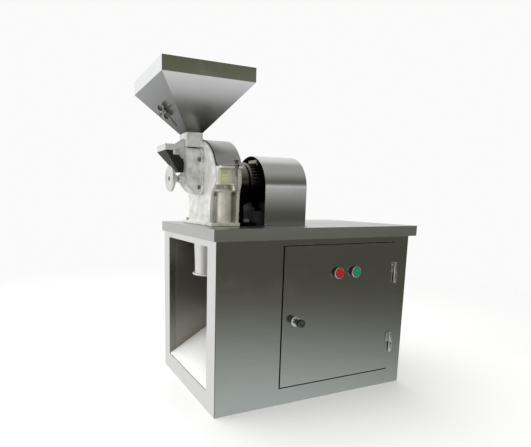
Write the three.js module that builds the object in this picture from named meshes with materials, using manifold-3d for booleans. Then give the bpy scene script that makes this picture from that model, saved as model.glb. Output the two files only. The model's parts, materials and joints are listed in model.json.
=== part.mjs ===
// Stainless cabinet hammer mill: hopper-fed milling head, direct-drive motor, collection bay.
// Working coordinates, in millimetres: X runs along the cabinet's front, Y from front to back and
// Z up, from the cabinet's lower front left corner. The exported group is shifted so that the
// origin is the centre of the footprint, on the floor.

import * as THREE from "three";
import { mergeVertices } from "three/addons/utils/BufferGeometryUtils.js";
import Module from "manifold-3d";

const wasm = await Module();
wasm.setup();

// ---------------------------------------------------------------- driving dimensions

const GAP = 0.3; // air between pieces that touch
const SHEET = 2; // folded sheet thickness

const CAB = { w: 650, d: 420, h: 500 };
const TABLE = { x0: -7, x1: 678, y0: -4, y1: 425, skirt: 31 };
const TABLE_TOP = CAB.h;
const WALL_TOP = CAB.h - SHEET - GAP;
const PANEL_Y0 = SHEET + GAP; // inner sheets start behind the front sheet
const PANEL_Y1 = CAB.d - SHEET - GAP;
const BAY = { y0: 54, y1: 369, z0: 54, z1: 451, lip: 20 };
const PARTITION_X = 188;
const BAY_SLOPE = { z0: 54.5, z1: 166 };

const DOOR = { x0: 202, x1: 596, z0: 52, z1: 451, face: -1.5, back: 18, gap: 2, latchGap: 3, footGap: 4 };
const DOOR_HINGE = { x: 599, y: -6.3, r: 4.5, pin: 2, length: 62, centres: [139.5, 359] };
const LATCH = { x: 246, z: 240, knobFront: -33 };
const BUTTON = { z: 370, stopX: 382, startX: 444, bezelR: 16.5, capR: 13.4, bore: 13.8, rim: -13 };
const BUTTON_FRONT = -17;

const MILL = { y: 210, z: 620, x0: 38, x1: 117, discR: 118, wall: 9 };
// Half widths of the housing's end plates at heights from the spindle, down to the table.
const WAIST = [[88, -31], [83, -60], [80, -119.7]];
const STRAIGHT_LEG = [[108, -31], [106, -60], [104, -119.7]];
const SPLIT_Z = 662; // where the wrap cover rests on the housing's flanges
const COVER = { x0: 40, x1: 119, rIn: 118.3, rOut: 121, flange: 5 };
const SIEVE = { rIn: 84, rOut: 85.5, x0: 49, x1: 106 };
const LINER = { rIn: 88, rOut: 97, ribR: 105.5, x0: 48, x1: 107 };
const OUTLET = { x: 67, neckR: 37, flangeR: 43, topR: 39.5, z0: 350 };
const BLOCK = { x0: 44, x1: 110, y0: 90, z0: 612 };
const COLUMN = { x: 78, y: 122, r: 21 };
const SWING = { x: 93, y: 79, z: 602, rodR: 4, eyeR: 7.5, pinR: 3, nutZ: 667.6 };

const BELL = { x0: 117.5, x1: 172, r: 61 };
const SPINDLE = { r: 11, x0: 48.5, x1: 158 };
const PIN_OFFSET = 32; // hammer pins sit at (+-32, +-32) from the spindle's axis
const HAMMER = { reach: 30, half: 8, hole: 3.2, pin: 3, x0: 60, x1: 95 };
const ROTOR_DISC = { r: 54, t: 4, xs: [55, 96] };

const MOTOR = { x0: 182.3, x1: 290, r: 62, shieldR: 64, cowlX1: 336, shaftR: 9, feetZ: 541 };
const ARCH = { x0: 204, x1: 346, r: 98, side: 106.6 };

const DUCT = { x0: -10, x1: 38, y0: 180, y1: 240, wall: 3, z1: 756.5 };
const THROAT = { z0: 589, z1: 717, flangeX: 32, toe: 24 };
const HOPPER = { x0: -114.5, x1: 142.6, halfY: 136.7, z0: 756.8, zBand: 876.5, z1: 913 };
const SCREW = { z: 630, bossR: 12, r: 6 };
const WHEEL = { x0: -54, x1: -43, r: 36.2 };
const FUNNEL = { x0: -66, y0: 200, y1: 280, z0: 649, zBand: 708, z1: 723, tipX: -24, plateTop: 740 };
const SIDE_WINDOW = { y0: 213, y1: 236, z0: 655, z1: 695 };
const GLAND = { x: 560, z: 90, r: 12, back: 444 };

const ORIGIN = {
  x: (HOPPER.x0 + TABLE.x1) / 2,
  y: (LATCH.knobFront + GLAND.back) / 2,
};

// ---------------------------------------------------------------- shape helpers

// Rotations that lay a shape drawn in its own XY plane across the X or Y axis.
const ACROSS_X = new THREE.Matrix4().makeBasis(
  new THREE.Vector3(0, 1, 0), new THREE.Vector3(0, 0, 1), new THREE.Vector3(1, 0, 0));
const ACROSS_Y = new THREE.Matrix4().makeBasis(
  new THREE.Vector3(1, 0, 0), new THREE.Vector3(0, 0, 1), new THREE.Vector3(0, -1, 0));

// A closed three.js geometry as a manifold solid with its faces turned outwards.
function solid(geometry) {
  const bare = geometry.index ? geometry : geometry.clone();
  for (const name of Object.keys(bare.attributes)) {
    if (name !== "position") bare.deleteAttribute(name);
  }
  const merged = mergeVertices(bare, 1e-4);
  const p = merged.attributes.position;
  const corners = [];
  let volume = 0;
  const [a, b, c] = [new THREE.Vector3(), new THREE.Vector3(), new THREE.Vector3()];
  for (let i = 0; i < merged.index.count; i += 3) {
    const [ia, ib, ic] = [0, 1, 2].map((k) => merged.index.getX(i + k));
    if (ia === ib || ib === ic || ic === ia) continue;
    a.fromBufferAttribute(p, ia);
    b.fromBufferAttribute(p, ib);
    c.fromBufferAttribute(p, ic);
    volume += a.dot(b.cross(c));
    corners.push(ia, ib, ic);
  }
  if (volume < 0) corners.reverse();
  return new wasm.Manifold(new wasm.Mesh({
    numProp: 3,
    vertProperties: new Float32Array(p.array),
    triVerts: new Uint32Array(corners),
  }));
}

const join = (first, ...others) => others.reduce((sum, s) => sum.add(s), first);
const cut = (base, ...tools) => tools.reduce((rest, s) => rest.subtract(s), base);

function block(x0, x1, y0, y1, z0, z1) {
  const g = new THREE.BoxGeometry(x1 - x0, y1 - y0, z1 - z0);
  return solid(g.translate((x0 + x1) / 2, (y0 + y1) / 2, (z0 + z1) / 2));
}

// Cylinders along each axis; u and v are the other two coordinates in X, Y, Z order.
function rodX(r, x0, x1, y, z, sides = 24) {
  const g = new THREE.CylinderGeometry(r, r, x1 - x0, sides).rotateZ(Math.PI / 2);
  return solid(g.translate((x0 + x1) / 2, y, z));
}
function rodY(r, y0, y1, x, z, sides = 24) {
  const g = new THREE.CylinderGeometry(r, r, y1 - y0, sides);
  return solid(g.translate(x, (y0 + y1) / 2, z));
}
function rodZ(r, z0, z1, x, y, sides = 24) {
  const g = new THREE.CylinderGeometry(r, r, z1 - z0, sides).rotateX(Math.PI / 2);
  return solid(g.translate(x, y, (z0 + z1) / 2));
}

function flatShape(points) {
  if (points instanceof THREE.Shape) return points;
  return new THREE.Shape(points.map(([u, v]) => new THREE.Vector2(u, v)));
}
function extruded(points, depth, curveSegments = 12) {
  return new THREE.ExtrudeGeometry(flatShape(points), { depth, bevelEnabled: false, curveSegments });
}
// Outline in (Y, Z), extruded from x0 to x1.
function prismX(points, x0, x1, segments) {
  return solid(extruded(points, x1 - x0, segments).applyMatrix4(ACROSS_X).translate(x0, 0, 0));
}
// Outline in (X, Z), extruded from y0 to y1.
function prismY(points, y0, y1, segments) {
  return solid(extruded(points, y1 - y0, segments).applyMatrix4(ACROSS_Y).translate(0, y1, 0));
}

// Turned pieces: the profile lists [radius, distance along the axis].
function turned(profile, sides) {
  return new THREE.LatheGeometry(profile.map(([r, h]) => new THREE.Vector2(r, h)), sides);
}
const turnedX = (profile, y, z, sides = 24) =>
  solid(turned(profile, sides).rotateZ(-Math.PI / 2).translate(0, y, z));
const turnedY = (profile, x, z, sides = 24) => solid(turned(profile, sides).translate(x, 0, z));
const turnedZ = (profile, x, y, sides = 24) =>
  solid(turned(profile, sides).rotateX(Math.PI / 2).translate(x, y, 0));

// A box that tapers from one rectangle to another; rectangles are [x0, x1, y0, y1].
function tapered(low, z0, high, z1) {
  const g = new THREE.BoxGeometry(1, 1, 1);
  const p = g.attributes.position;
  for (let i = 0; i < p.count; i++) {
    const top = p.getZ(i) > 0;
    const r = top ? high : low;
    p.setXYZ(i, p.getX(i) > 0 ? r[1] : r[0], p.getY(i) > 0 ? r[3] : r[2], top ? z1 : z0);
  }
  return solid(g);
}

// A rectangle with rounded corners, as an outline.
function roundedRect(u0, u1, v0, v1, r) {
  const s = new THREE.Shape();
  s.moveTo(u0 + r, v0);
  s.lineTo(u1 - r, v0);
  s.absarc(u1 - r, v0 + r, r, -Math.PI / 2, 0, false);
  s.lineTo(u1, v1 - r);
  s.absarc(u1 - r, v1 - r, r, 0, Math.PI / 2, false);
  s.lineTo(u0 + r, v1);
  s.absarc(u0 + r, v1 - r, r, Math.PI / 2, Math.PI, false);
  s.lineTo(u0, v0 + r);
  s.absarc(u0 + r, v0 + r, r, Math.PI, Math.PI * 1.5, false);
  return s;
}

// A hexagon head along an axis: `along` is rodX, rodY or rodZ.
const hex = (along, acrossFlats, a0, a1, u, v) => along(acrossFlats / Math.sqrt(3), a0, a1, u, v, 6);

const STEEL = { metalness: 0.9, roughness: 0.35 };
const CAST = { metalness: 0.7, roughness: 0.55 };
const PLASTIC = { metalness: 0, roughness: 0.4 };

function piece(name, shape, color, finish = STEEL) {
  const { vertProperties, triVerts, numProp } = shape.getMesh();
  const positions = new Float32Array((vertProperties.length / numProp) * 3);
  for (let i = 0; i < positions.length / 3; i++) {
    for (let k = 0; k < 3; k++) positions[3 * i + k] = vertProperties[numProp * i + k];
  }
  const g = new THREE.BufferGeometry();
  g.setAttribute("position", new THREE.BufferAttribute(positions, 3));
  g.setIndex(Array.from(triVerts));
  g.computeVertexNormals();
  const mesh = new THREE.Mesh(g, new THREE.MeshStandardMaterial({ color, ...finish }));
  mesh.name = name;
  return mesh;
}

// ---------------------------------------------------------------- cabinet

function tabletop() {
  const { x0, x1, y0, y1, skirt } = TABLE;
  const tray = cut(
    block(x0, x1, y0, y1, TABLE_TOP - skirt, TABLE_TOP),
    block(x0 + SHEET, x1 - SHEET, y0 + SHEET, y1 - SHEET, 0, TABLE_TOP - SHEET));
  const outletHole = rodZ(OUTLET.topR + GAP, TABLE_TOP - 9, TABLE_TOP + 1, OUTLET.x, MILL.y, 20);
  return piece("tabletop", cut(tray, outletHole), 0x9a9d98);
}

function leftFrame() {
  const sheet = block(0, SHEET, 0, CAB.d, 0, WALL_TOP);
  const lip = block(0, BAY.lip, BAY.y0 - SHEET, BAY.y1 + SHEET, BAY.z0 - SHEET, BAY.z1 + SHEET);
  const opening = block(-1, BAY.lip + 1, BAY.y0, BAY.y1, BAY.z0, BAY.z1);
  return piece("left_frame", cut(join(sheet, lip), opening), 0xdcdcda);
}

function frontFrame() {
  const [x0, x1] = [DOOR.x0 - DOOR.latchGap, DOOR.x1 + DOOR.gap];
  const [z0, z1] = [DOOR.z0 - DOOR.footGap, DOOR.z1 + DOOR.gap];
  const sheet = block(SHEET + GAP, CAB.w - SHEET - GAP, 0, SHEET, 0, WALL_TOP);
  const lip = block(x0 - SHEET, x1 + SHEET, 0, 20, z0 - SHEET, z1 + SHEET);
  return piece("front_frame", cut(join(sheet, lip), block(x0, x1, -1, 21, z0, z1)), 0x6b6f69);
}

function cabinetPanels() {
  const right = block(CAB.w - SHEET, CAB.w, 0, CAB.d, 0, WALL_TOP);
  const back = cut(
    block(SHEET + GAP, CAB.w - SHEET - GAP, CAB.d - SHEET, CAB.d, 0, WALL_TOP),
    rodY(GLAND.r - 2 + GAP, CAB.d - 5, CAB.d + 5, GLAND.x, GLAND.z, 16));
  const bottom = block(SHEET + GAP, CAB.w - SHEET - GAP, PANEL_Y0, PANEL_Y1, 0, SHEET);
  const partition = block(
    PARTITION_X, PARTITION_X + SHEET, PANEL_Y0, PANEL_Y1, SHEET + GAP, WALL_TOP);
  const cheeks = [BAY.y0 - SHEET, BAY.y1].map((y) =>
    block(BAY.lip + GAP, PARTITION_X + 1, y, y + SHEET, SHEET + GAP, WALL_TOP));
  const slopeEnd = PARTITION_X - GAP;
  const slope = prismY(
    [[SHEET + GAP, BAY_SLOPE.z0], [slopeEnd, BAY_SLOPE.z1], [slopeEnd, BAY_SLOPE.z1 + SHEET],
      [SHEET + GAP, BAY_SLOPE.z0 + SHEET]],
    BAY.y0 + GAP, BAY.y1 - GAP);
  return [
    piece("right_panel", right, 0x7c807b),
    piece("back_panel", back, 0x7c807b),
    piece("bottom_panel", bottom, 0x70736e),
    piece("bay_liner", join(partition, ...cheeks), 0x55554f),
    piece("bay_slope_plate", slope, 0xeef0ee),
  ];
}

function cableGland() {
  const { x, z, r, back } = GLAND;
  const face = CAB.d;
  const body = turnedY([[5.5, face - 14], [r - 2, face - 14], [r - 2, face + GAP], [r, face + GAP],
    [r, face + 12], [r - 2, back - 3], [r - 4, back], [5.5, back], [5.5, face - 14]], x, z, 16);
  const nut = cut(
    hex(rodY, 24, face - 8, face - SHEET - GAP, x, z), rodY(r - 3, face - 9, face, x, z, 16));
  return piece("cable_gland", join(body, nut), 0x2b2b2b, PLASTIC);
}

function electrics() {
  const plate = block(300, 520, PANEL_Y1 - 8, PANEL_Y1 - 6, 180, 400);
  const standoffs = [[315, 195], [505, 195], [315, 385], [505, 385]]
    .map(([x, z]) => rodY(5, PANEL_Y1 - 7, PANEL_Y1 - GAP, x, z, 8));
  const front = PANEL_Y1 - 8 - GAP;
  const contactor = join(
    block(340, 385, front - 80, front, 270, 345),
    block(345, 380, front - 92, front - 79, 285, 330),
    block(342, 383, front - 70, front, 215, 271),
    rodY(5, front - 75, front - 69, 352, 255, 10));
  return [
    piece("electrics_plate", join(plate, ...standoffs), 0xb9bcb8),
    piece("contactor_and_relay", contactor, 0x3a3b3d, PLASTIC),
  ];
}

// ---------------------------------------------------------------- cabinet door

// Lift-off hinges: the lower half stands on the frame and carries the pin, the upper half turns on it.
function doorHinge(name, z) {
  const { x, y, r, pin, length } = DOOR_HINGE;
  const [low, high] = [z - length / 2, z + length / 2];
  const seat = DOOR.face - GAP;
  const base = join(
    rodZ(r, low, z - 0.2, x, y, 20), rodZ(pin, z - 1, high - 8, x, y, 12),
    block(x - 2, x + 2, y, -GAP, low, z - 0.2), block(x, x + 15, -2 - GAP, -GAP, low, z - 0.2));
  const barrel = cut(
    join(rodZ(r, z + 0.2, high, x, y, 20), block(x - 16, x, seat - 2, seat, z + 0.2, high)),
    rodZ(pin + 0.1, z - 1, high - 6, x, y, 12));
  return [piece(name + "_hinge_base", base, 0xc9ccc8), piece(name + "_hinge_barrel", barrel, 0xd0d2cf)];
}

function cabinetDoor() {
  const { x0, x1, z0, z1, face, back } = DOOR;
  const pan = cut(
    block(x0, x1, face, back, z0, z1),
    block(x0 + SHEET, x1 - SHEET, face + SHEET, back + 1, z0 + SHEET, z1 - SHEET));
  const buttonHoles = [BUTTON.stopX, BUTTON.startX]
    .map((x) => rodY(BUTTON.bore + 1.3, -5, 5, x, BUTTON.z, 24));
  const latchHole = rodY(6.5, -5, 5, LATCH.x, LATCH.z, 16);
  return piece("cabinet_door", cut(pan, ...buttonHoles, latchHole), 0x6a6e68);
}

function button(name, x, color) {
  const { z, bezelR, capR, bore, rim } = BUTTON;
  const seat = DOOR.face - GAP;
  const collar = turnedY([[bore, rim], [bezelR - 1.5, rim], [bezelR, rim + 3], [bezelR, seat],
    [bore + 1, seat], [bore + 1, 14], [7, 14], [7, 8], [bore, 8], [bore, rim]], x, z, 20);
  const contactBlock = block(x - 14, x + 14, 13, 48, z - 20, z + 20);
  const cap = turnedY(
    [[0, BUTTON_FRONT], [capR - 2.5, BUTTON_FRONT], [capR, BUTTON_FRONT + 2], [capR, -3], [6, -3],
      [6, 7], [0, 7]], x, z, 18);
  return [
    piece(name + "_button_body", join(collar, contactBlock), 0xb9bbb8),
    piece(name + "_button", cap, color, PLASTIC),
  ];
}

function latch() {
  const { x, z, knobFront } = LATCH;
  const seat = DOOR.face - GAP;
  const rosette = turnedY(
    [[5.4, -6], [12, -6], [15, -3.5], [15, seat], [5.4, seat], [5.4, -6]], x, z, 24);
  const knob = turnedY([[0, knobFront], [9, knobFront], [11.5, knobFront + 2.5], [11.5, -14],
    [8, -6.5], [5, -6.4], [5, 21.6], [0, 21.6]], x, z, 24);
  const cam = join(
    block(x - 7, x + 7, 22, 25, z, z + 50), rodY(9, 22, 25, x, z, 16),
    hex(rodY, 10, 24.5, 29, x, z));
  return [
    piece("latch_rosette", rosette, 0xc4c6c3),
    piece("latch_knob", knob, 0x4a4a48),
    piece("latch_cam", cam, 0xb4b7b4),
  ];
}

// ---------------------------------------------------------------- milling head

// The casting's outline, drawn in by `inset`: a half disc on a foot that narrows to the table.
function castingOutline(inset, side) {
  const { y, z, discR } = MILL;
  const s = new THREE.Shape();
  s.moveTo(y + discR - inset, z);
  s.absarc(y, z, discR - inset, 0, Math.PI, false);
  for (const [u, v] of side) s.lineTo(y - u + inset, z + v);
  for (const [u, v] of [...side].reverse()) s.lineTo(y + u - inset, z + v);
  return s;
}

// A sector of a ring in the YZ plane, as an outline.
function ringSector(rIn, rOut, from, to) {
  const s = new THREE.Shape();
  s.absarc(MILL.y, MILL.z, rOut, from, to, false);
  s.absarc(MILL.y, MILL.z, rIn, to, from, true);
  return s;
}

function millHousing() {
  const { x0, x1, y, z, wall } = MILL;
  const [cx0, cx1] = [x0 + wall, x1 - wall];
  const top = SPLIT_Z - GAP;
  const casting = join(
    prismX(castingOutline(0, WAIST), x0, cx0, 16),
    prismX(castingOutline(8, WAIST), cx0 - 1, cx1 + 1, 16),
    prismX(castingOutline(0, STRAIGHT_LEG), cx1, x1, 16));
  const foot = block(x0 - 8, x1, y - 112, y + 112, TABLE_TOP + GAP, TABLE_TOP + 10);
  const frontBlock = block(BLOCK.x0, BLOCK.x1, BLOCK.y0, BLOCK.y0 + 36, BLOCK.z0, top);
  const frontFlange = block(BLOCK.x0, BLOCK.x1, SWING.y - 6, BLOCK.y0 + 1, top - 7, top);
  const rearBlock = block(BLOCK.x0, BLOCK.x1, 2 * y - BLOCK.y0 - 36, 2 * y - BLOCK.y0, 640, top);
  const rearFlange = block(BLOCK.x0, BLOCK.x1, 2 * y - BLOCK.y0 - 1, 2 * y - SWING.y + 6, top - 7, top);
  const ears = [[-8.5, -4.5], [4.5, 8.5]].map(([a, b]) => join(
    block(SWING.x + a, SWING.x + b, SWING.y, BLOCK.y0 + 1, SWING.z - 2, BLOCK.z0 + 4),
    rodX(7.5, SWING.x + a, SWING.x + b, SWING.y, SWING.z, 16)));
  const pivotPin = join(
    rodX(SWING.pinR, SWING.x - 10, SWING.x + 10, SWING.y, SWING.z, 16),
    ...[-1, 1].map((side) => rodX(5, SWING.x + side * 8, SWING.x + side * 11, SWING.y, SWING.z, 12)));
  const column = join(
    rodZ(COLUMN.r, TABLE_TOP + GAP, 600, COLUMN.x, COLUMN.y, 20),
    block(COLUMN.x - 27, COLUMN.x + 27, COLUMN.y - 20, COLUMN.y + 22, 594, 600));
  const bridge = block(COLUMN.x - 6, COLUMN.x + 6, COLUMN.y - 12, COLUMN.y + 22, 599, BLOCK.z0 + 1);
  const body = join(
    casting, foot, frontBlock, frontFlange, rearBlock, rearFlange, column, bridge, ...ears);

  const chamber = join(
    cut(rodX(LINER.ribR + 0.5, cx0, cx1, y, z, 36), block(cx0, cx1, y - 200, y + 200, 400, z)),
    rodX(SIEVE.rOut + 1, cx0, cx1, y, z, 36),
    block(cx0, cx1, y - 90, y + 90, z + 70, 800));
  const chute = block(cx0 + 3, 96, y - 28, y + 28, 400, z - 60);
  const inlet = block(x0 - 1, cx0 + 1, y - 24, y + 24, 604, 668);
  const spindleHole = rodX(SPINDLE.r + 3, cx1 - 1, x1 + 1, y, z, 24);
  const coverRoom = cut(
    block(COVER.x0 - GAP, COVER.x1, y - 200, y + 200, SPLIT_Z, 800),
    rodX(MILL.discR, 0, 200, y, z, 32));
  const boltSlot = block(SWING.x - 5, SWING.x + 5, SWING.y - 20, SWING.y + 6, top - 9, top + 1);
  return piece(
    "mill_housing",
    join(cut(body, chamber, chute, inlet, spindleHole, coverRoom, boltSlot), pivotPin), 0xc5c5c0, CAST);
}

function wrapCover() {
  const { x0, x1, rIn, rOut, flange } = COVER;
  const { y, z } = MILL;
  const start = Math.asin((SPLIT_Z - z) / rOut);
  const shell = prismX(ringSector(rIn, rOut, start, Math.PI - start), x0, x1, 20);
  const frontFlange = cut(
    block(BLOCK.x0, BLOCK.x1, SWING.y - 6, y - 111, SPLIT_Z, SPLIT_Z + flange),
    block(SWING.x - 5, SWING.x + 5, SWING.y - 20, SWING.y + 6, SPLIT_Z - 1, SPLIT_Z + 9));
  const rearFlange = block(
    BLOCK.x0, BLOCK.x1, y + 111, 2 * y - SWING.y + 6, SPLIT_Z, SPLIT_Z + flange);
  const below = block(0, 200, 0, 400, 600, SPLIT_Z);
  return piece("wrap_cover", cut(join(shell, frontFlange, rearFlange), below), 0x8d8e88);
}

function toothedLiner() {
  const { rIn, rOut, ribR, x0, x1 } = LINER;
  const [from, to] = [0.14, Math.PI - 0.14];
  const ring = prismX(ringSector(rIn, rOut, from, to), x0, x1, 18);
  const ribs = [x0 + 6, x1 - 10].map((x) => prismX(ringSector(rOut - 1, ribR, from, to), x, x + 4, 12));
  const grooves = [];
  for (let i = 0; i < 9; i++) {
    const a = 0.32 + (i * (Math.PI - 0.64)) / 8;
    grooves.push(rodX(5, x0 - 1, x1 + 1, MILL.y + rIn * Math.cos(a), MILL.z + rIn * Math.sin(a), 4));
  }
  return piece("toothed_liner", cut(join(ring, ...ribs), ...grooves), 0x5f605c, CAST);
}

function sieve() {
  const { rIn, rOut, x0, x1 } = SIEVE;
  const [from, to] = [Math.PI + 0.06, 2 * Math.PI - 0.06];
  const slots = [];
  for (let i = 0; i < 11; i++) {
    const a = from + 0.2 + (i * (to - from - 0.4)) / 10;
    const g = new THREE.BoxGeometry(10, 5, 46).translate(rIn, 0, 0).rotateZ(a).applyMatrix4(ACROSS_X);
    slots.push(solid(g.translate((x0 + x1) / 2, MILL.y, MILL.z)));
  }
  return piece("sieve_screen", cut(prismX(ringSector(rIn, rOut, from, to), x0, x1, 22), ...slots), 0xa9aaa6);
}

function swingBolt() {
  const { x, y, z, rodR, eyeR, pinR, nutZ } = SWING;
  const bolt = cut(
    join(rodX(eyeR, x - 4, x + 4, y, z, 20), rodZ(rodR, z + 4, nutZ + 10, x, y, 16)),
    rodX(pinR + 0.12, x - 6, x + 6, y, z, 16));
  const nut = cut(
    join(hex(rodZ, 17, nutZ, nutZ + 7, x, y), rodZ(7, nutZ + 6.5, nutZ + 8.5, x, y, 16)),
    rodZ(rodR + 0.1, nutZ - 1, nutZ + 10, x, y, 16));
  return [
    piece("swing_bolt", bolt, 0xb5b6b0),
    piece("swing_bolt_nut", nut, 0x1e1f1c, { metalness: 0.5, roughness: 0.5 }),
  ];
}

function ratingPlate() {
  const y1 = BLOCK.y0 - GAP;
  const plate = block(50, 77, y1 - 1, y1, 616, 652);
  const corners = [[53, 619], [74, 619], [53, 649], [74, 649]];
  const rivets = corners.map(([x, z]) => rodY(1.4, y1 - 2, y1 - 0.5, x, z, 8));
  return piece("blank_rating_plate", join(plate, ...rivets), 0xb9c07a);
}

// ---------------------------------------------------------------- bearings, spindle and rotor

function bellHousing() {
  const { x0, x1, r } = BELL;
  const { y, z } = MILL;
  const tube = cut(
    rodX(r, x0, x1, y, z, 32), rodX(26.2, x0 - 1, x0 + 30, y, z, 24), rodX(50, x0 + 30, x1 + 1, y, z, 24));
  const web = cut(
    block(x0 + 4, x1 - 6, y - 42, y + 42, TABLE_TOP + 9, z - 20), rodX(r - 2, x0 - 1, x1 + 1, y, z, 40));
  const foot = block(x0, x1 + 8, y - 95, y + 95, TABLE_TOP + GAP, TABLE_TOP + 10);
  return piece("bearing_bell_housing", join(tube, web, foot), 0x2e2f2a, CAST);
}

function bearing() {
  const { y, z } = MILL;
  const ring = cut(
    rodX(26, BELL.x0 + 1, BELL.x0 + 28, y, z, 24), rodX(SPINDLE.r + 0.2, BELL.x0, BELL.x0 + 29, y, z, 24));
  return piece("spindle_bearing", ring, 0xc8cac8);
}

function spindle() {
  const { r, x0, x1 } = SPINDLE;
  const { y, z } = MILL;
  const nutSide = ROTOR_DISC.xs[0] - 0.3;
  return piece("mill_spindle", join(
    rodX(r, x0 + 3, x1, y, z, 24), hex(rodX, 26, x0 + 1, nutSide, y, z), rodX(8, x0, x0 + 4, y, z, 20)),
  0xb0b2b0);
}

const pinPlaces = [[1, 1], [-1, 1], [-1, -1], [1, -1]]
  .map(([a, b]) => [MILL.y + a * PIN_OFFSET, MILL.z + b * PIN_OFFSET]);

// Two discs on a common sleeve, with the four hammer pins riveted through them.
function rotorCore() {
  const { y, z } = MILL;
  const { r, t, xs } = ROTOR_DISC;
  const end = xs[xs.length - 1] + t;
  const discs = xs.map((x) => rodX(r, x, x + t, y, z, 24));
  const sleeve = rodX(SPINDLE.r + 2, xs[0], end, y, z, 24);
  const pins = pinPlaces.map(([py, pz]) => join(
    rodX(HAMMER.pin, xs[0] - 1, end + 1, py, pz, 10),
    rodX(5, xs[0] - 3, xs[0] + 1, py, pz, 10), rodX(5, end - 1, end + 3, py, pz, 10)));
  const bore = rodX(SPINDLE.r + 0.1, 40, 120, y, z, 24);
  return piece("rotor_disc_stack", join(cut(join(...discs, sleeve), bore), ...pins), 0x777873, CAST);
}

// One swing hammer hangs on each pin, between the two discs.
function hammer(index) {
  const [py, pz] = pinPlaces[index];
  const { reach, half, hole, x0, x1 } = HAMMER;
  const bar = join(
    block(x0, x1, py - half, py + half, pz - reach, pz), rodX(half, x0, x1, py, pz, 16));
  return piece(`hammer_${index + 1}`, cut(bar, rodX(hole, x0 - 1, x1 + 1, py, pz, 12)), 0x86877f, CAST);
}

function coupling() {
  const { y, z } = MILL;
  const teeth = (x, turn) => [0, 1, 2].map((i) => {
    const a = turn + (i * 2 * Math.PI) / 3;
    const g = new THREE.BoxGeometry(10, 6, 6).translate(16, 0, 3).rotateZ(a).applyMatrix4(ACROSS_X);
    return solid(g.translate(x, y, z));
  });
  const hubA = cut(
    join(rodX(23, 147.8, 156, y, z, 28), ...teeth(155.5, 0)), rodX(SPINDLE.r + 0.1, 140, 165, y, z, 24));
  const hubB = cut(
    join(rodX(23, 163, 170.5, y, z, 28), ...teeth(157.5, Math.PI / 3)),
    rodX(MOTOR.shaftR + 0.1, 150, 175, y, z, 24));
  const spider = cut(
    join(rodX(9.2, 158.6, 162.4, y, z, 20),
      ...[0, 1, 2, 3, 4, 5].map((i) => {
        const a = Math.PI / 6 + (i * Math.PI) / 3;
        const g = new THREE.BoxGeometry(13, 3.6, 3.8).translate(15, 0, 1.9).rotateZ(a).applyMatrix4(ACROSS_X);
        return solid(g.translate(158.6, y, z));
      })),
    rodX(4, 150, 170, y, z, 12));
  return [
    piece("coupling_mill_hub", hubA, 0x8b8c88, CAST),
    piece("coupling_motor_hub", hubB, 0x8b8c88, CAST),
    piece("coupling_spider", spider, 0xb03428, PLASTIC),
  ];
}

// ---------------------------------------------------------------- motor

function motor() {
  const { x0, x1, r, shieldR, cowlX1, shaftR, feetZ } = MOTOR;
  const { y, z } = MILL;
  const fins = [];
  for (let i = 0; i < 16; i++) {
    const a = (i * Math.PI) / 8;
    const g = new THREE.BoxGeometry(9, 3, x1 - x0 - 8).translate(r - 6, 0, 0);
    g.rotateZ(a).applyMatrix4(ACROSS_X);
    fins.push(solid(g.translate((x0 + x1) / 2, y, z)));
  }
  const feet = [x0 + 12, x1 - 30].map((x) => block(x, x + 18, y - 55, y + 55, feetZ, z - 40));
  const bore = rodX(44, x0 - 1, x1 + 1, y, z, 24);
  const frame = cut(join(rodX(r - 8, x0, x1, y, z, 24), ...fins, ...feet), bore);
  const shield = (a, b, boreR) => cut(rodX(shieldR, a, b, y, z, 28), rodX(boreR, a - 1, b + 1, y, z, 16));
  const rotor = join(rodX(42.5, x0 + 12, x1 - 12, y, z, 24), rodX(shaftR, 164, x1 + 40, y, z, 16));
  const blades = [0, 1, 2, 3, 4, 5].map((i) => {
    const g = new THREE.BoxGeometry(36, 2, 18).translate(32, 0, 0);
    g.rotateZ((i * Math.PI) / 3).applyMatrix4(ACROSS_X);
    return solid(g.translate(x1 + 26, y, z));
  });
  const fan = cut(
    join(rodX(16, x1 + 15, x1 + 37, y, z, 20), ...blades), rodX(shaftR + 0.1, x1, x1 + 45, y, z, 16));
  const cowl = cut(
    rodX(shieldR - 1, x1 + 9 + GAP, cowlX1, y, z, 28), rodX(shieldR - 3, x1, cowlX1 - 2, y, z, 28),
    ...[-30, -15, 0, 15, 30].map((v) => {
      const w = Math.sqrt(48 * 48 - v * v);
      return block(cowlX1 - 4, cowlX1 + 1, y - w, y + w, z + v - 3, z + v + 3);
    }));
  const boxZ = z + r - 5;
  const terminalBox = join(
    block(x0 + 30, x0 + 80, y - 26, y + 26, boxZ + 6, boxZ + 17),
    block(x0 + 36, x0 + 74, y - 20, y + 20, boxZ - 6, boxZ + 7));
  const plinth = cut(
    block(x0 + 4, x1 - 4, y - 62, y + 62, TABLE_TOP + GAP, feetZ - GAP),
    block(x0 + 12, x1 - 12, y - 54, y + 54, TABLE_TOP - 1, feetZ - 6));
  return [
    piece("motor_frame", join(frame, terminalBox), 0x1d1e1c, CAST),
    piece("motor_drive_shield", shield(BELL.x1 + GAP, x0 - GAP, 12), 0x222320, CAST),
    piece("motor_fan_shield", shield(x1 + GAP, x1 + 9, 12), 0x222320, CAST),
    piece("motor_rotor", rotor, 0x8d8e8b),
    piece("motor_fan", fan, 0x3b3c3a, PLASTIC),
    piece("motor_fan_cowl", cowl, 0x1a1b19, CAST),
    piece("motor_plinth", plinth, 0x3c3d39, CAST),
  ];
}

// The sheet arch over the motor: open towards the mill, louvred at the far end.
function archOutline(r) {
  const s = new THREE.Shape();
  const spring = TABLE_TOP + ARCH.side;
  s.moveTo(MILL.y - r, TABLE_TOP + GAP);
  s.lineTo(MILL.y + r, TABLE_TOP + GAP);
  s.lineTo(MILL.y + r, spring);
  s.absarc(MILL.y, spring, r, 0, Math.PI, false);
  return s;
}

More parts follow.
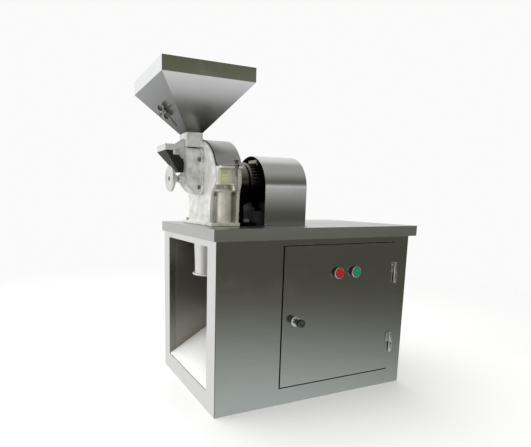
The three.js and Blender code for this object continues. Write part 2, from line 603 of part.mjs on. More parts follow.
function motorCover() {
  const { x0, x1, r } = ARCH;
  const { y } = MILL;
  const footFlange = (side) => {
    const [a, b] = [y + side * r, y + side * (r - 14)];
    return block(x0 - 2, x1, Math.min(a, b), Math.max(a, b), TABLE_TOP, TABLE_TOP + GAP + SHEET);
  };
  const inner = cut(
    prismX(archOutline(r - SHEET), x0 - 1, x1 - SHEET, 20), footFlange(-1), footFlange(1));
  const slots = [];
  for (let i = 0; i < 5; i++) {
    slots.push(block(x1 - 5, x1 + 1, y - 45, y + 45, 560 + 20 * i, 569 + 20 * i));
  }
  const openBottom = block(x0 - 1, x1 - SHEET, y - r + 14, y + r - 14, TABLE_TOP, TABLE_TOP + 5);
  return piece("motor_cover", cut(prismX(archOutline(r), x0, x1, 20), inner, openBottom, ...slots), 0x8f9492);
}

// ---------------------------------------------------------------- discharge

function dischargeSpigot() {
  const { x, neckR, flangeR, topR, z0 } = OUTLET;
  const profile = [
    [topR - 2, TABLE_TOP - GAP], [topR, TABLE_TOP - GAP], [topR, TABLE_TOP - SHEET - 1],
    [topR + 12, TABLE_TOP - SHEET - 1], [topR + 12, TABLE_TOP - SHEET - 4], [topR + 4, TABLE_TOP - SHEET - 4],
    [neckR, z0 + 30], [neckR, z0 + 8], [flangeR, z0 + 7], [flangeR + 1, z0 + 3.5], [flangeR, z0],
    [neckR - 2, z0], [neckR - 2, z0 + 30], [topR - 2, TABLE_TOP - 30]];
  return piece("discharge_spigot", turnedZ(profile.concat([profile[0]]), x, MILL.y, 20), 0xd2d0ce);
}

// ---------------------------------------------------------------- feed

const ductBox = (inset, z0, z1) => block(
  DUCT.x0 + inset, DUCT.x1 - GAP - inset, DUCT.y0 + inset, DUCT.y1 - inset, z0, z1);

function throat() {
  const { z0, z1, flangeX, toe } = THROAT;
  const { wall, x0, x1 } = DUCT;
  const window = SIDE_WINDOW;
  // The corner cut off at the foot of the left wall, at 45 degrees.
  const toeCut = (inset) => prismY(
    [[x0 - 1, z0 - 1], [x0 + toe + 1 + inset, z0 - 1], [x0 - 1, z0 + toe + 1 + inset]],
    DUCT.y0 - 1, DUCT.y1 + 1);
  const shell = cut(prismX(roundedRect(DUCT.y0, DUCT.y1, z0, z1, 14), x0, x1 - GAP, 3), toeCut(0));
  const flange = prismX(roundedRect(DUCT.y0 - 8, DUCT.y1 + 8, z0 - 4, z1 - 2, 16), flangeX, x1 - GAP, 3);
  const boss = rodX(SCREW.bossR, -26, x0 + 1, MILL.y, SCREW.z, 20);
  const bore = roundedRect(DUCT.y0 + wall, DUCT.y1 - wall, z0 + wall, z1 + 20, 11);
  const room = cut(prismX(bore, x0 + wall, x1 + 1, 3), toeCut(wall * Math.SQRT2));
  const screwHole = rodX(SCREW.r + 0.2, -40, 10, MILL.y, SCREW.z, 16);
  const sideWindow = block(x0 - 1, x0 + wall + 1, window.y0, window.y1, window.z0, window.z1);
  const hollowDuct = ductBox(wall, z1 - 10, z1 + 1);
  return piece(
    "feed_throat", cut(join(shell, flange, boss), room, hollowDuct, screwHole, sideWindow), 0xa6a79f, CAST);
}

function duct() {
  const shell = cut(ductBox(0, THROAT.z1 + GAP, DUCT.z1), ductBox(DUCT.wall, 600, 800));
  return piece("feed_duct", shell, 0x8e8f86, CAST);
}

// Rectangle of the hopper's inside or outside at a height, grown outwards by `out`.
function hopperAt(t, out) {
  const y = MILL.y;
  const mix = (a, b) => a + (b - a) * t;
  return [
    mix(DUCT.x0, HOPPER.x0) - out, mix(DUCT.x1 - GAP, HOPPER.x1) + out,
    mix(y - 30, y - HOPPER.halfY) - out, mix(y + 30, y + HOPPER.halfY) + out];
}

// Distances down the hopper's left panel, from the band to the outlet.
const SLOPE = (() => {
  const dx = DUCT.x0 - HOPPER.x0;
  const dz = HOPPER.z0 - HOPPER.zBand;
  const length = Math.hypot(dx, dz);
  return { length, ux: dx / length, uz: dz / length, tilt: Math.atan2(dz, dx) };
})();
const GATE = { y: MILL.y + 8, stud: 82, from: 60, to: 156, half: 21, travel: 46, slitHalf: 3.6 };

// Puts a solid drawn with X down the slope and Z out of the inner side onto the left panel.
function onSlope(geometry, along, lift) {
  const m = new THREE.Matrix4().makeRotationY(-SLOPE.tilt);
  m.setPosition(
    HOPPER.x0 + SLOPE.ux * along - SLOPE.uz * lift,
    GATE.y,
    HOPPER.zBand + SLOPE.uz * along + SLOPE.ux * lift);
  return solid(geometry.applyMatrix4(m));
}

function hopper() {
  const { z0, zBand, z1 } = HOPPER;
  const t = SHEET * 1.35; // horizontal thickness of the sloped sheet
  const outer = join(
    tapered(hopperAt(0, 0), z0, hopperAt(1, 0), zBand),
    tapered(hopperAt(1, 0), zBand - 0.01, hopperAt(1, 0), z1));
  const inner = join(
    tapered(hopperAt(0, -t), z0 - 0.01, hopperAt(1, -t), zBand),
    tapered(hopperAt(1, -t), zBand - 0.01, hopperAt(1, -t), z1 + 1));
  const spigotIn = DUCT.wall + GAP + 1.6;
  const gatePath = onSlope(
    new THREE.BoxGeometry(70, 2 * GATE.half + 4, 6).translate(0, MILL.y - GATE.y, 0),
    SLOPE.length, SHEET + 3.2);
  const spigot = cut(
    join(ductBox(DUCT.wall + GAP, z0 - 12, z0 + 1), ductBox(1, z0, z0 + 2)),
    ductBox(spigotIn, z0 - 13, z0 + 3), gatePath);
  const slitLength = GATE.travel + 10;
  const slit = onSlope(
    new THREE.BoxGeometry(slitLength, 2 * GATE.slitHalf, 12), GATE.stud + GATE.travel / 2, 0);
  return piece("feed_hopper", cut(join(cut(outer, inner), spigot), slit), 0xa0a3a0);
}

function gate() {
  const lift = SHEET + 0.5;
  const middle = (GATE.from + GATE.to) / 2;
  const plate = onSlope(new THREE.BoxGeometry(GATE.to - GATE.from, 2 * GATE.half, 2)
    .translate(0, MILL.y - GATE.y, 0), middle, lift + 1);
  const stud = onSlope(new THREE.CylinderGeometry(3, 3, 28, 12).rotateX(Math.PI / 2), GATE.stud, lift - 13);
  const hub = new THREE.CylinderGeometry(8, 9, 12, 12).rotateX(Math.PI / 2);
  const drill = new THREE.CylinderGeometry(3.2, 3.2, 40, 12).rotateX(Math.PI / 2);
  const hole = onSlope(drill, GATE.stud, lift - 13);
  const wing = (side) => onSlope(
    new THREE.CylinderGeometry(8, 8, 4, 10).translate(side * 14.5, 0, -7), GATE.stud, -7.5);
  const nut = cut(join(onSlope(hub, GATE.stud, -7.5), wing(1), wing(-1)), hole);
  return [piece("feed_gate", join(plate, stud), 0x9b9d9a), piece("gate_wing_nut", nut, 0xa7a9a6)];
}

function sideFunnel() {
  const { x0, y0, y1, z0, zBand, z1, tipX, plateTop } = FUNNEL;
  const window = SIDE_WINDOW;
  const wall = DUCT.x0 - GAP;
  const [tipY0, tipY1] = [window.y0 - 3, window.y1 + 3];
  const shell = (s) => join(
    tapered([tipX + s, wall, tipY0 + s, tipY1 - s], z0 - (s ? 1 : 0),
      [x0 + s, wall, y0 + s, y1 - s], zBand),
    block(x0 + s, wall, y0 + s, y1 - s, zBand - 0.01, z1 + (s ? 30 : 0)));
  const gusset = (y) => prismY(
    [[wall - 34, z1 - 1], [wall - 30, z1 - 13], [wall - 17, z1 - 26], [wall - 9, z1 - 36],
      [wall - 1, z1 - 40], [wall - 1, plateTop], [wall - 4, plateTop]], y, y + 2);
  const bottom = block(tipX + 1, wall, tipY0 + 1, tipY1 - 1, z0, z0 + 2);
  const opening = block(wall - 3, wall + 1, window.y0, window.y1, window.z0, window.z1);
  const backPlate = prismX([[tipY0, z0], [tipY1, z0], [y1, zBand], [y1, z1], [DUCT.y1, plateTop],
    [y0, plateTop], [y0, z1 - 40]], wall - 2, wall);
  const room = cut(shell(2.2), block(wall - 2, wall + 1, y0, y1, z0 - 2, 800), bottom);
  const body = cut(join(cut(shell(0), room), gusset(y0), backPlate), opening);
  return piece("side_funnel", body, 0x4b4c49);
}

function throttle() {
  const { z, r } = SCREW;
  const { y } = MILL;
  const { x0, x1, r: wheelR } = WHEEL;
  const plate = cut(
    join(block(16, 19, y - 26, y + 26, 608, 690), rodX(10, 10, 17, y, z, 20)),
    rodX(r + 0.2, 9, 14.2, y, z, 16));
  const screw = rodX(r, x1 + 0.1, 14, y, z, 16);
  const disc = turnedX([[0, x0 + 2], [8, x0 + 2], [9, x0], [wheelR - 4, x0],
    [wheelR, x0 + 3.5], [wheelR, x1 - 3], [wheelR - 3, x1], [11, x1], [10, x1 + 13], [0, x1 + 13]],
  y, z, 28);
  return [
    piece("throttle_plate", plate, 0x9a9c98),
    piece("throttle_screw", screw, 0x8f918d),
    piece("handwheel", cut(disc, rodX(r + 0.1, x1, 0, y, z, 16)), 0xc9c9c4),
  ];
}

// ---------------------------------------------------------------- assembly

const hammerMill = new THREE.Group();
hammerMill.position.set(-ORIGIN.x, -ORIGIN.y, 0);

const cabinet = new THREE.Group();
cabinet.add(
  tabletop(), leftFrame(), frontFrame(), ...cabinetPanels(), cableGland(),
  ...electrics(), dischargeSpigot());

const door = new THREE.Group();
door.add(
  cabinetDoor(), ...doorHinge("lower", DOOR_HINGE.centres[0]), ...doorHinge("upper", DOOR_HINGE.centres[1]),
  ...button("stop", BUTTON.stopX, 0xc00010), ...button("start", BUTTON.startX, 0x1c8f5c), ...latch());

const mill = new THREE.Group();
mill.add(
  millHousing(), wrapCover(), toothedLiner(), sieve(), ratingPlate(), ...swingBolt(), bellHousing(),
  bearing());

const rotor = new THREE.Group();
rotor.add(spindle(), rotorCore(), ...[0, 1, 2, 3].map(hammer), ...coupling());

const drive = new THREE.Group();
drive.add(...motor(), motorCover());

const feed = new THREE.Group();
feed.add(throat(), duct(), hopper(), ...gate(), sideFunnel(), ...throttle());

hammerMill.add(cabinet, door, mill, rotor, drive, feed);

const assembly = new THREE.Group();
assembly.add(hammerMill);
export default assembly;
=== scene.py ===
"""The looks of a cabinet-mounted hammer mill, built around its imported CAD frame. Metres, +Z up."""

import json
import math

import bmesh
import bpy
from mathutils import Matrix, Vector


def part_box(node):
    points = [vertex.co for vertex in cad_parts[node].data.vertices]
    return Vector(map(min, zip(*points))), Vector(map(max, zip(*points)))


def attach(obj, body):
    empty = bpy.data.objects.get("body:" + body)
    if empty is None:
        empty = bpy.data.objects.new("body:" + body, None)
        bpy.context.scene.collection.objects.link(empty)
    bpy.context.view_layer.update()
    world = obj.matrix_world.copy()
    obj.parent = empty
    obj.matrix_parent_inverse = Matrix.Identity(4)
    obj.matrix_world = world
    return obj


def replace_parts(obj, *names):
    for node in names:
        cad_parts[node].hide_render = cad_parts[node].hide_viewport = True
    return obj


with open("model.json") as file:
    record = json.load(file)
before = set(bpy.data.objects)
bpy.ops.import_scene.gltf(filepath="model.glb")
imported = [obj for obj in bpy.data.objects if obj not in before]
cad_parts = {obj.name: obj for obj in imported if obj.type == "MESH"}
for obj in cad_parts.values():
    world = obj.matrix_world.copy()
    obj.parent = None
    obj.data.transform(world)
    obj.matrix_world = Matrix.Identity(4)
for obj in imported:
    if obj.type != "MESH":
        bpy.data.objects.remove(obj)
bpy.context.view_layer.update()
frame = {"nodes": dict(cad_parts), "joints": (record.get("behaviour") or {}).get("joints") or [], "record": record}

MM = 0.001
BODY_OF = {n: b for b, nodes in frame["record"]["behaviour"]["bodies"].items() for n in nodes}
SLOT_OF = {row["node"]: row["material_slot"] for row in frame["record"]["subparts"]}


class Span:
    """The box of a CAD node: x0, x1, y0, y1, z0, z1 and its centre cx, cy, cz."""

    def __init__(self, node):
        low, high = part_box(node)
        self.x0, self.y0, self.z0 = low
        self.x1, self.y1, self.z1 = high
        self.cx, self.cy, self.cz = (low + high) / 2


# ---------------------------------------------------------------- camera, light and floor

CAMERA_PLACE = (-0.71545, -1.1592, 0.5696)
CAMERA_YAW, CAMERA_PITCH, CAMERA_ROLL = 23.342, 8.715, 0.601
CAMERA_LENS, CAMERA_SHIFT = 28.775, (0.1091, 0.0795)
STUDIO_BRIGHT_SIDE = (-0.3, 0.95, 0.0)
# From where, to where and how bright: along the bright side, downwards and upwards.
STUDIO_BACK = (-0.45, 0.35, 0.92)
STUDIO_BELOW = (-0.17, -0.50, 0.68)
STUDIO_ABOVE = (0.30, 0.80, 0.36)
STUDIO_STRIP = (0.01, 0.04, 0.15, 0.24, 0.72)  # a lit wall low over the horizon in front
STUDIO_DARK = (0.115, 0.113, 0.088, 1.0)
STUDIO_WHITE = 0.955
FLOOR_RADIUS, FLOOR_COVER = 2.6, 0.75  # how much of the white below the floor hides


def make_camera():
    data = bpy.data.cameras.new("camera")
    data.lens = CAMERA_LENS
    data.shift_x, data.shift_y = CAMERA_SHIFT
    camera = bpy.data.objects.new("camera", data)
    bpy.context.scene.collection.objects.link(camera)
    camera.matrix_world = (
        Matrix.Translation(CAMERA_PLACE)
        @ Matrix.Rotation(-math.radians(CAMERA_YAW), 4, "Z")
        @ Matrix.Rotation(math.radians(90 - CAMERA_PITCH), 4, "X")
        @ Matrix.Rotation(math.radians(CAMERA_ROLL), 4, "Z")
    )
    bpy.context.scene.camera = camera


def soft_light(name, place, target, width, height, power):
    """A large lamp that brightens what isn't polished; the metal mirrors the studio only."""
    data = bpy.data.lights.new(name, "AREA")
    data.shape, data.size, data.size_y, data.energy = "RECTANGLE", width, height, power
    light = bpy.data.objects.new(name, data)
    bpy.context.scene.collection.objects.link(light)
    light.location = place
    light.rotation_euler = (Vector(target) - Vector(place)).to_track_quat("-Z", "Y").to_euler()
    light.visible_camera = light.visible_glossy = False


def make_world():
    """A white studio. What the metal mirrors in it is bright behind, below and overhead, and
    dark in front of the machine and to its right, apart from a lit strip low over the horizon."""
    world = bpy.data.worlds.new("studio")
    bpy.context.scene.world = world
    world.use_nodes = True
    tree = world.node_tree
    way = tree.nodes.new("ShaderNodeTexCoord").outputs["Generated"]

    def step(value, low, high, level):
        node = tree.nodes.new("ShaderNodeMapRange")
        node.interpolation_type = "SMOOTHSTEP"
        for socket, number in (("From Min", low), ("From Max", high), ("To Min", 0), ("To Max", level)):
            node.inputs[socket].default_value = number
        tree.links.new(value, node.inputs["Value"])
        return node.outputs["Result"]

    def combine(operation, a, b):
        node = tree.nodes.new("ShaderNodeMath")
        node.operation = operation
        for socket, value in enumerate((a, b)):
            if isinstance(value, bpy.types.NodeSocket):
                tree.links.new(value, node.inputs[socket])
            else:
                node.inputs[socket].default_value = value
        return node.outputs[0]

    facing = tree.nodes.new("ShaderNodeVectorMath")
    facing.operation = "DOT_PRODUCT"
    facing.inputs[1].default_value = Vector(STUDIO_BRIGHT_SIDE).normalized()
    split = tree.nodes.new("ShaderNodeSeparateXYZ")
    tree.links.new(way, facing.inputs[0])
    tree.links.new(way, split.inputs[0])
    height = split.outputs["Z"]
    level = step(facing.outputs["Value"], *STUDIO_BACK)
    for low, high, most in (STUDIO_BELOW, STUDIO_ABOVE):
        level = combine("MAXIMUM", level, step(height, low, high, most))
    low, high, fall, end, most = STUDIO_STRIP
    strip = combine("MULTIPLY", step(height, low, high, most), step(height, end, fall, 1))
    level = combine("MAXIMUM", level, strip)
    seen = tree.nodes.new("ShaderNodeLightPath").outputs["Is Camera Ray"]
    level = combine("MAXIMUM", level, combine("MULTIPLY", seen, STUDIO_WHITE))
    tone = tree.nodes.new("ShaderNodeMix")
    tone.data_type = "RGBA"
    tree.links.new(level, tone.inputs[0])
    tone.inputs[6].default_value, tone.inputs[7].default_value = STUDIO_DARK, (1.0, 1.0, 1.0, 1.0)
    tree.links.new(tone.outputs[2], tree.nodes["Background"].inputs["Color"])


# ---------------------------------------------------------------- mesh helpers

AXES = {"X": (1, 2, 0), "Y": (0, 2, 1), "Z": (0, 1, 2)}  # where u, v and the length along go
WELD_DISTANCE = 1e-6
SHARP_ANGLE, BEVEL_ANGLE = math.radians(38), math.radians(32)  # from where an edge is sharp, or is rounded


def place(axis, u, v, along):
    p = [0.0, 0.0, 0.0]
    for index, value in zip(AXES[axis], (u, v, along)):
        p[index] = value
    return p


def link(mesh):
    obj = bpy.data.objects.new("solid", mesh)
    bpy.context.scene.collection.objects.link(obj)
    return obj


def solid_of(bm):
    bmesh.ops.recalc_face_normals(bm, faces=bm.faces)
    mesh = bpy.data.meshes.new("solid")
    bm.to_mesh(mesh)
    bm.free()
    return link(mesh)


def prism(outline, axis, a, b):
    """An outline of (u, v) points, stretched along an axis from a to b."""
    bm = bmesh.new()
    low, high = ([bm.verts.new(place(axis, u, v, s)) for u, v in outline] for s in (a, b))
    bm.faces.new(low)
    bm.faces.new(high)
    for i, start in enumerate(low):
        j = (i + 1) % len(low)
        bm.faces.new((start, low[j], high[j], high[i]))
    return solid_of(bm)


def box(x0, x1, y0, y1, z0, z1):
    return prism([(x0, y0), (x1, y0), (x1, y1), (x0, y1)], "Z", z0, z1)


def circle(u, v, radius, count, start=0.0):
    """Places spaced evenly round a circle, the first at `start` radians."""
    angles = [start + 2 * math.pi * k / count for k in range(count)]
    return [(u + radius * math.cos(a), v + radius * math.sin(a)) for a in angles]


def lathe(profile, axis, u, v, steps=64):
    """A profile of (radius, along) points turned round an axis; it ends on the axis or closes."""
    bm = bmesh.new()
    rings = []
    for radius, along in profile:
        if radius < 1e-7:
            rings.append([bm.verts.new(place(axis, u, v, along))] * steps)
            continue
        rings.append([bm.verts.new(place(axis, *p, along)) for p in circle(u, v, radius, steps)])
    if profile[0][0] > 1e-7:
        rings.append(rings[0])
    for low, high in zip(rings, rings[1:]):
        for k in range(steps):
            m = (k + 1) % steps
            corners = list(dict.fromkeys((low[k], low[m], high[m], high[k])))
            if len(corners) > 2:
                bm.faces.new(corners)
    return solid_of(bm)


def rod(axis, u, v, radius, a, b, edge=0.4 * MM, steps=48):
    """A turned rod with small round edges."""
    return lathe(soften([(0, a), (radius, a), (radius, b), (0, b)], edge, closed=False), axis, u, v, steps)


def soften(points, radius, closed=True, steps=4):
    """The outline with each corner turned into a short curve."""
    out = []
    for i, corner in enumerate(points):
        if not closed and i in (0, len(points) - 1):
            out.append(corner)
            continue
        p = Vector(corner)
        a, b = Vector(points[i - 1]) - p, Vector(points[(i + 1) % len(points)]) - p
        r = min(radius, 0.45 * a.length, 0.45 * b.length)
        start, end = p + r * a.normalized(), p + r * b.normalized()
        for k in range(steps + 1):
            t = k / steps
            out.append(tuple(start * (1 - t) ** 2 + p * 2 * t * (1 - t) + end * t * t))
    return out


def rectangle(u0, u1, v0, v1, radius, steps=8):
    return soften([(u0, v0), (u1, v0), (u1, v1), (u0, v1)], radius, steps=steps)


def arc(u, v, radius, start, end, steps=64):
    """Points along an arc, angles in degrees."""
    angles = [math.radians(start + (end - start) * k / steps) for k in range(steps + 1)]
    return [(u + radius * math.cos(a), v + radius * math.sin(a)) for a in angles]


def apply_modifiers(obj):
    graph = bpy.context.evaluated_depsgraph_get()
    mesh = bpy.data.meshes.new_from_object(obj.evaluated_get(graph))
    obj.modifiers.clear()
    obj.data = mesh
    return obj


def boolean(target, operation, tools):
    for tool in tools:
        m = target.modifiers.new(operation, "BOOLEAN")
        m.operation, m.solver, m.object = operation, "EXACT", tool
    apply_modifiers(target)
    for tool in tools:
        bpy.data.objects.remove(tool)
    return target


def cut(target, *tools):
    return boolean(target, "DIFFERENCE", tools)


def join(target, *tools):
    return boolean(target, "UNION", tools)


def gather(first, *others):
    """Several solids as one mesh, left as they are."""
    bm = bmesh.new()
    for obj in (first, *others):
        bm.from_mesh(obj.data)
    bm.to_mesh(first.data)
    bm.free()
    for obj in others:
        bpy.data.objects.remove(obj)
    return first


def turned_copy(obj, matrix):
    obj.data.transform(matrix)
    return obj


def copied(obj):
    return link(obj.data.copy())


def copy_of(node):
    """A new object with a CAD node's shape, its corners welded."""
    bm = bmesh.new()
    bm.from_mesh(frame["nodes"][node].data)
    bmesh.ops.remove_doubles(bm, verts=bm.verts, dist=WELD_DISTANCE)
    return solid_of(bm)


def cast(obj, voxel=1.6 * MM, rounds=5):
    """Melts a solid's edges and corners as a sand casting has them."""
    remesh = obj.modifiers.new("remesh", "REMESH")
    remesh.mode, remesh.voxel_size = "VOXEL", voxel
    smooth = obj.modifiers.new("smooth", "SMOOTH")
    smooth.factor, smooth.iterations = 0.5, rounds
    return apply_modifiers(obj)


def rounded_edges(obj, width, segments=3):
    bevel = obj.modifiers.new("edges", "BEVEL")
    bevel.width, bevel.segments, bevel.limit_method = width, segments, "ANGLE"
    bevel.angle_limit, bevel.harden_normals = BEVEL_ANGLE, True
    bevel.miter_outer = "MITER_ARC"


def add_piece(obj, name, body, slot, edge=0.0):
    obj.name = obj.data.name = name
    obj.data.shade_smooth()
    obj.data.set_sharp_from_angle(angle=SHARP_ANGLE)
    if edge:
        rounded_edges(obj, edge)
    obj.data.materials.clear()
    obj.data.materials.append(MATERIALS[slot])
    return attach(obj, body)


def stand_for(obj, *nodes, edge=0.0, name=None):
    """obj takes the place, body and finish of the first of these CAD nodes."""
    finish = FINISH_OF.get(nodes[0], SLOT_OF[nodes[0]])
    add_piece(obj, name or nodes[0] + "_detail", BODY_OF[nodes[0]], finish, edge)
    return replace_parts(obj, *nodes)


# ---------------------------------------------------------------- materials

class Surface:
    """A material whose nodes are added one call at a time. Places are in the row frame."""

    def __init__(self, name, **fixed):
        self.material = bpy.data.materials.new(name)
        self.material.use_nodes = True
        self.tree = self.material.node_tree
        self.shader = self.tree.nodes["Principled BSDF"]
        for socket, value in fixed.items():
            self.shader.inputs[socket.replace("_", " ")].default_value = value
        self.where = self.node("ShaderNodeTexCoord").outputs["Object"]

    def node(self, kind, links=(), **settings):
        made = self.tree.nodes.new(kind)
        for key, value in settings.items():
            setattr(made, key, value)
        for socket, value in dict(links).items():
            target = made.inputs[socket]
            if isinstance(value, bpy.types.NodeSocket):
                self.tree.links.new(value, target)
            else:
                target.default_value = value
        return made

    def noise(self, stretch, detail=3.0, shift=0.0):
        """Noise between 0 and 1 with `stretch` cells a metre along X, Y and Z."""
        scaled = self.node("ShaderNodeMapping", {"Vector": self.where, "Scale": stretch,
                                                 "Location": (shift, shift, shift)})
        return self.node("ShaderNodeTexNoise", {
            "Vector": scaled.outputs[0], "Scale": 1.0, "Detail": detail, "Roughness": 0.55,
        }).outputs["Fac"]

    def remap(self, value, low, high, to_low=0.0, to_high=1.0):
        return self.node("ShaderNodeMapRange", {
            "Value": value, "From Min": low, "From Max": high, "To Min": to_low, "To Max": to_high,
        }).outputs["Result"]

    def math(self, operation, a, b):
        return self.node("ShaderNodeMath", {0: a, 1: b}, operation=operation).outputs[0]

    def mix(self, factor, a, b, blend="MIX"):
        made = self.node("ShaderNodeMix", data_type="RGBA", blend_type=blend)
        for index, value in ((0, factor), (6, a), (7, b)):
            if isinstance(value, bpy.types.NodeSocket):
                self.tree.links.new(value, made.inputs[index])
            else:
                made.inputs[index].default_value = value
        return made.outputs[2]

    def height(self):
        return self.node("ShaderNodeSeparateXYZ", {0: self.where}).outputs["Z"]

    def edges(self):
        """1 on sharp outer edges of a finely meshed piece, where its finish is worn."""
        return self.remap(self.node("ShaderNodeNewGeometry").outputs["Pointiness"], 0.52, 0.60)

    def bumps(self, value, distance, strength=1.0, under=None):
        links = {"Height": value, "Distance": distance, "Strength": strength}
        if under:
            links["Normal"] = under
        return self.node("ShaderNodeBump", links).outputs["Normal"]

    def done(self, colour, roughness, normal=None):
        self.tree.links.new(colour, self.shader.inputs["Base Color"])
        self.tree.links.new(roughness, self.shader.inputs["Roughness"])
        if normal:
            self.tree.links.new(normal, self.shader.inputs["Normal"])
        return self.material


def grey(r, g=None, b=None):
    return (r, r if g is None else g, r if b is None else b, 1.0)


GRAIN = {"X": (14, 2400, 2400), "Y": (2400, 14, 2400), "Z": (2400, 2400, 14)}
BROAD = {"X": (3.5, 420, 420), "Y": (420, 3.5, 420), "Z": (420, 420, 3.5)}


def brushed(name, colour, grain="X", roughness=0.28, contrast=0.07, anisotropy=0.5, low=None,
            facing=(), metal=1.0, **fixed):
    """Brushed stainless sheet: fine and broad streaks, faint clouds and finger smudges.
    `low` is a second colour, and the heights between which the sheet takes it on downwards, as painted
    reflection and painted shade; `facing` pairs a direction with a tint for the faces that look that way, as
    painted light and shade by which way a face turns."""
    s = Surface(name, Metallic=metal, Anisotropic=anisotropy, **fixed)
    tangent = s.node("ShaderNodeTangent", direction_type="RADIAL", axis="Z")
    s.tree.links.new(tangent.outputs[0], s.shader.inputs["Tangent"])
    fine = s.noise(GRAIN[grain], detail=2.0)
    broad = s.noise(BROAD[grain], detail=3.0, shift=3.1)
    cloud = s.noise((4, 4, 4), detail=4.0, shift=7.7)
    smudge = s.remap(s.noise((11, 11, 11), detail=5.0, shift=1.9), 0.55, 0.72)
    streaks = s.math("ADD", s.math("MULTIPLY", fine, 0.55), s.math("MULTIPLY", broad, 0.45))
    base = colour
    # Painted reflection and painted shade: the sheet takes the `low` colour towards the floor.
    if low:
        base = s.mix(s.remap(s.height(), low[1], low[2]), low[0], colour)
    # Painted light and shade: faces turned a given way take a lighter or darker tint.
    for direction, painted_tint in facing:
        normal = s.node("ShaderNodeNewGeometry").outputs["Normal"]
        turned = s.node("ShaderNodeVectorMath", {0: normal, 1: direction}, operation="DOT_PRODUCT")
        painted_facing_share = s.remap(turned.outputs["Value"], 0.93, 0.98)
        base = s.mix(painted_facing_share, base, s.mix(1.0, base, painted_tint, "MULTIPLY"))
    darker = s.mix(1.0, base, grey(1 - contrast), "MULTIPLY")
    lighter = s.mix(1.0, base, grey(1 + contrast), "MULTIPLY")
    tone = s.mix(s.remap(streaks, 0.25, 0.75), darker, lighter)
    tone = s.mix(s.remap(cloud, 0.3, 0.7, 0.0, 0.5), tone, darker)
    rough = s.math("ADD", s.remap(streaks, 0.2, 0.8, roughness - 0.03, roughness + 0.03),
                   s.remap(smudge, 0, 1, 0.0, 0.05))
    return s.done(tone, rough, s.bumps(fine, 0.004 * MM, 0.2))


def rough_cast(name, colour, dark, roughness=0.5, grain=420, metal=0.85, front_painted_shade=None):
    """A fettled casting: mottled skin, pitted surface and edges rubbed bright.
    `front_painted_shade` is a darker, yellower tint that paints shade on the casting's front part, and the x and y
    that this painted shade lies right of and in front of."""
    s = Surface(name, Metallic=metal)
    skin = s.noise((grain, grain, grain), detail=4.0)
    mottle = s.noise((38, 38, 38), detail=5.0, shift=5.3)
    pits = s.node("ShaderNodeTexVoronoi", {"Vector": s.where, "Scale": grain * 0.6}).outputs["Distance"]
    tone = s.mix(s.remap(mottle, 0.35, 0.68), dark, colour)
    tone = s.mix(s.remap(skin, 0.4, 0.75, 0.0, 0.35), tone, s.mix(1.0, tone, grey(1.18), "MULTIPLY"))
    tone = s.mix(s.math("MULTIPLY", s.edges(), 0.55), tone, s.mix(0.5, tone, grey(0.95)))
    # Painted shade: the casting's front part takes the darker, yellower tint.
    if front_painted_shade:
        parts = s.node("ShaderNodeSeparateXYZ", {0: s.where})
        painted_shade_share = s.math("MULTIPLY", s.remap(parts.outputs["X"], front_painted_shade[1], front_painted_shade[1] + 3 * MM),
                      s.remap(parts.outputs["Y"], front_painted_shade[2], front_painted_shade[2] - 6 * MM))
        tone = s.mix(painted_shade_share, tone, s.mix(1.0, tone, front_painted_shade[0], "MULTIPLY"))
    rough = s.math("ADD", s.remap(mottle, 0.3, 0.7, roughness + 0.08, roughness - 0.06),
                   s.remap(skin, 0.3, 0.7, -0.03, 0.05))
    normal = s.bumps(s.remap(pits, 0.0, 0.5), 0.08 * MM, 0.3)
    return s.done(tone, rough, s.bumps(skin, 0.25 * MM, 0.35, normal))


def machined(name, colour, roughness=0.24):
    """Turned or milled steel, with fine tool marks and a thin oily film."""
    s = Surface(name, Metallic=1.0)
    marks = s.noise(GRAIN["X"], detail=1.0)
    film = s.noise((60, 60, 60), detail=4.0, shift=2.2)
    tone = s.mix(s.remap(film, 0.35, 0.7), colour, s.mix(1.0, colour, grey(0.72, 0.71, 0.68), "MULTIPLY"))
    rough = s.math("ADD", s.remap(marks, 0.3, 0.7, roughness - 0.05, roughness + 0.06),
                   s.remap(film, 0.3, 0.7, 0.0, 0.10))
    return s.done(tone, rough, s.bumps(marks, 0.03 * MM, 0.3))


def enamel(name, colour, worn, roughness=0.38, coat=0.25, dusty=0.35):
    """Thick machine enamel with orange peel, patches of dust and rubbed edges."""
    s = Surface(name, Metallic=0.0, Coat_Weight=coat, Coat_Roughness=0.2)
    peel = s.noise((650, 650, 650), detail=2.0)
    dust = s.remap(s.noise((26, 26, 26), detail=6.0, shift=4.4), 0.45, 0.75)
    tone = s.mix(s.math("MULTIPLY", dust, dusty), colour, s.mix(0.35, colour, grey(0.30, 0.29, 0.26)))
    tone = s.mix(s.math("MULTIPLY", s.edges(), 0.6), tone, worn)
    rough = s.math("ADD", s.remap(peel, 0.3, 0.7, roughness - 0.04, roughness + 0.04),
                   s.remap(dust, 0, 1, 0.0, 0.22))
    return s.done(tone, rough, s.bumps(peel, 0.12 * MM, 0.3))


def moulded(name, colour, roughness, coat=0.0, bump=0.05):
    """Moulded plastic or rubber with a fine spark-eroded texture and slight colour drift."""
    s = Surface(name, Metallic=0.0, Coat_Weight=coat, Coat_Roughness=0.08)
    texture = s.noise((1400, 1400, 1400), detail=2.0)
    drift = s.noise((90, 90, 90), detail=3.0, shift=6.1)
    tone = s.mix(s.remap(drift, 0.3, 0.7), s.mix(1.0, colour, grey(0.82), "MULTIPLY"), colour)
    rough = s.remap(drift, 0.3, 0.7, roughness - 0.05, roughness + 0.05)
    return s.done(tone, rough, s.bumps(texture, bump * MM, 0.3))


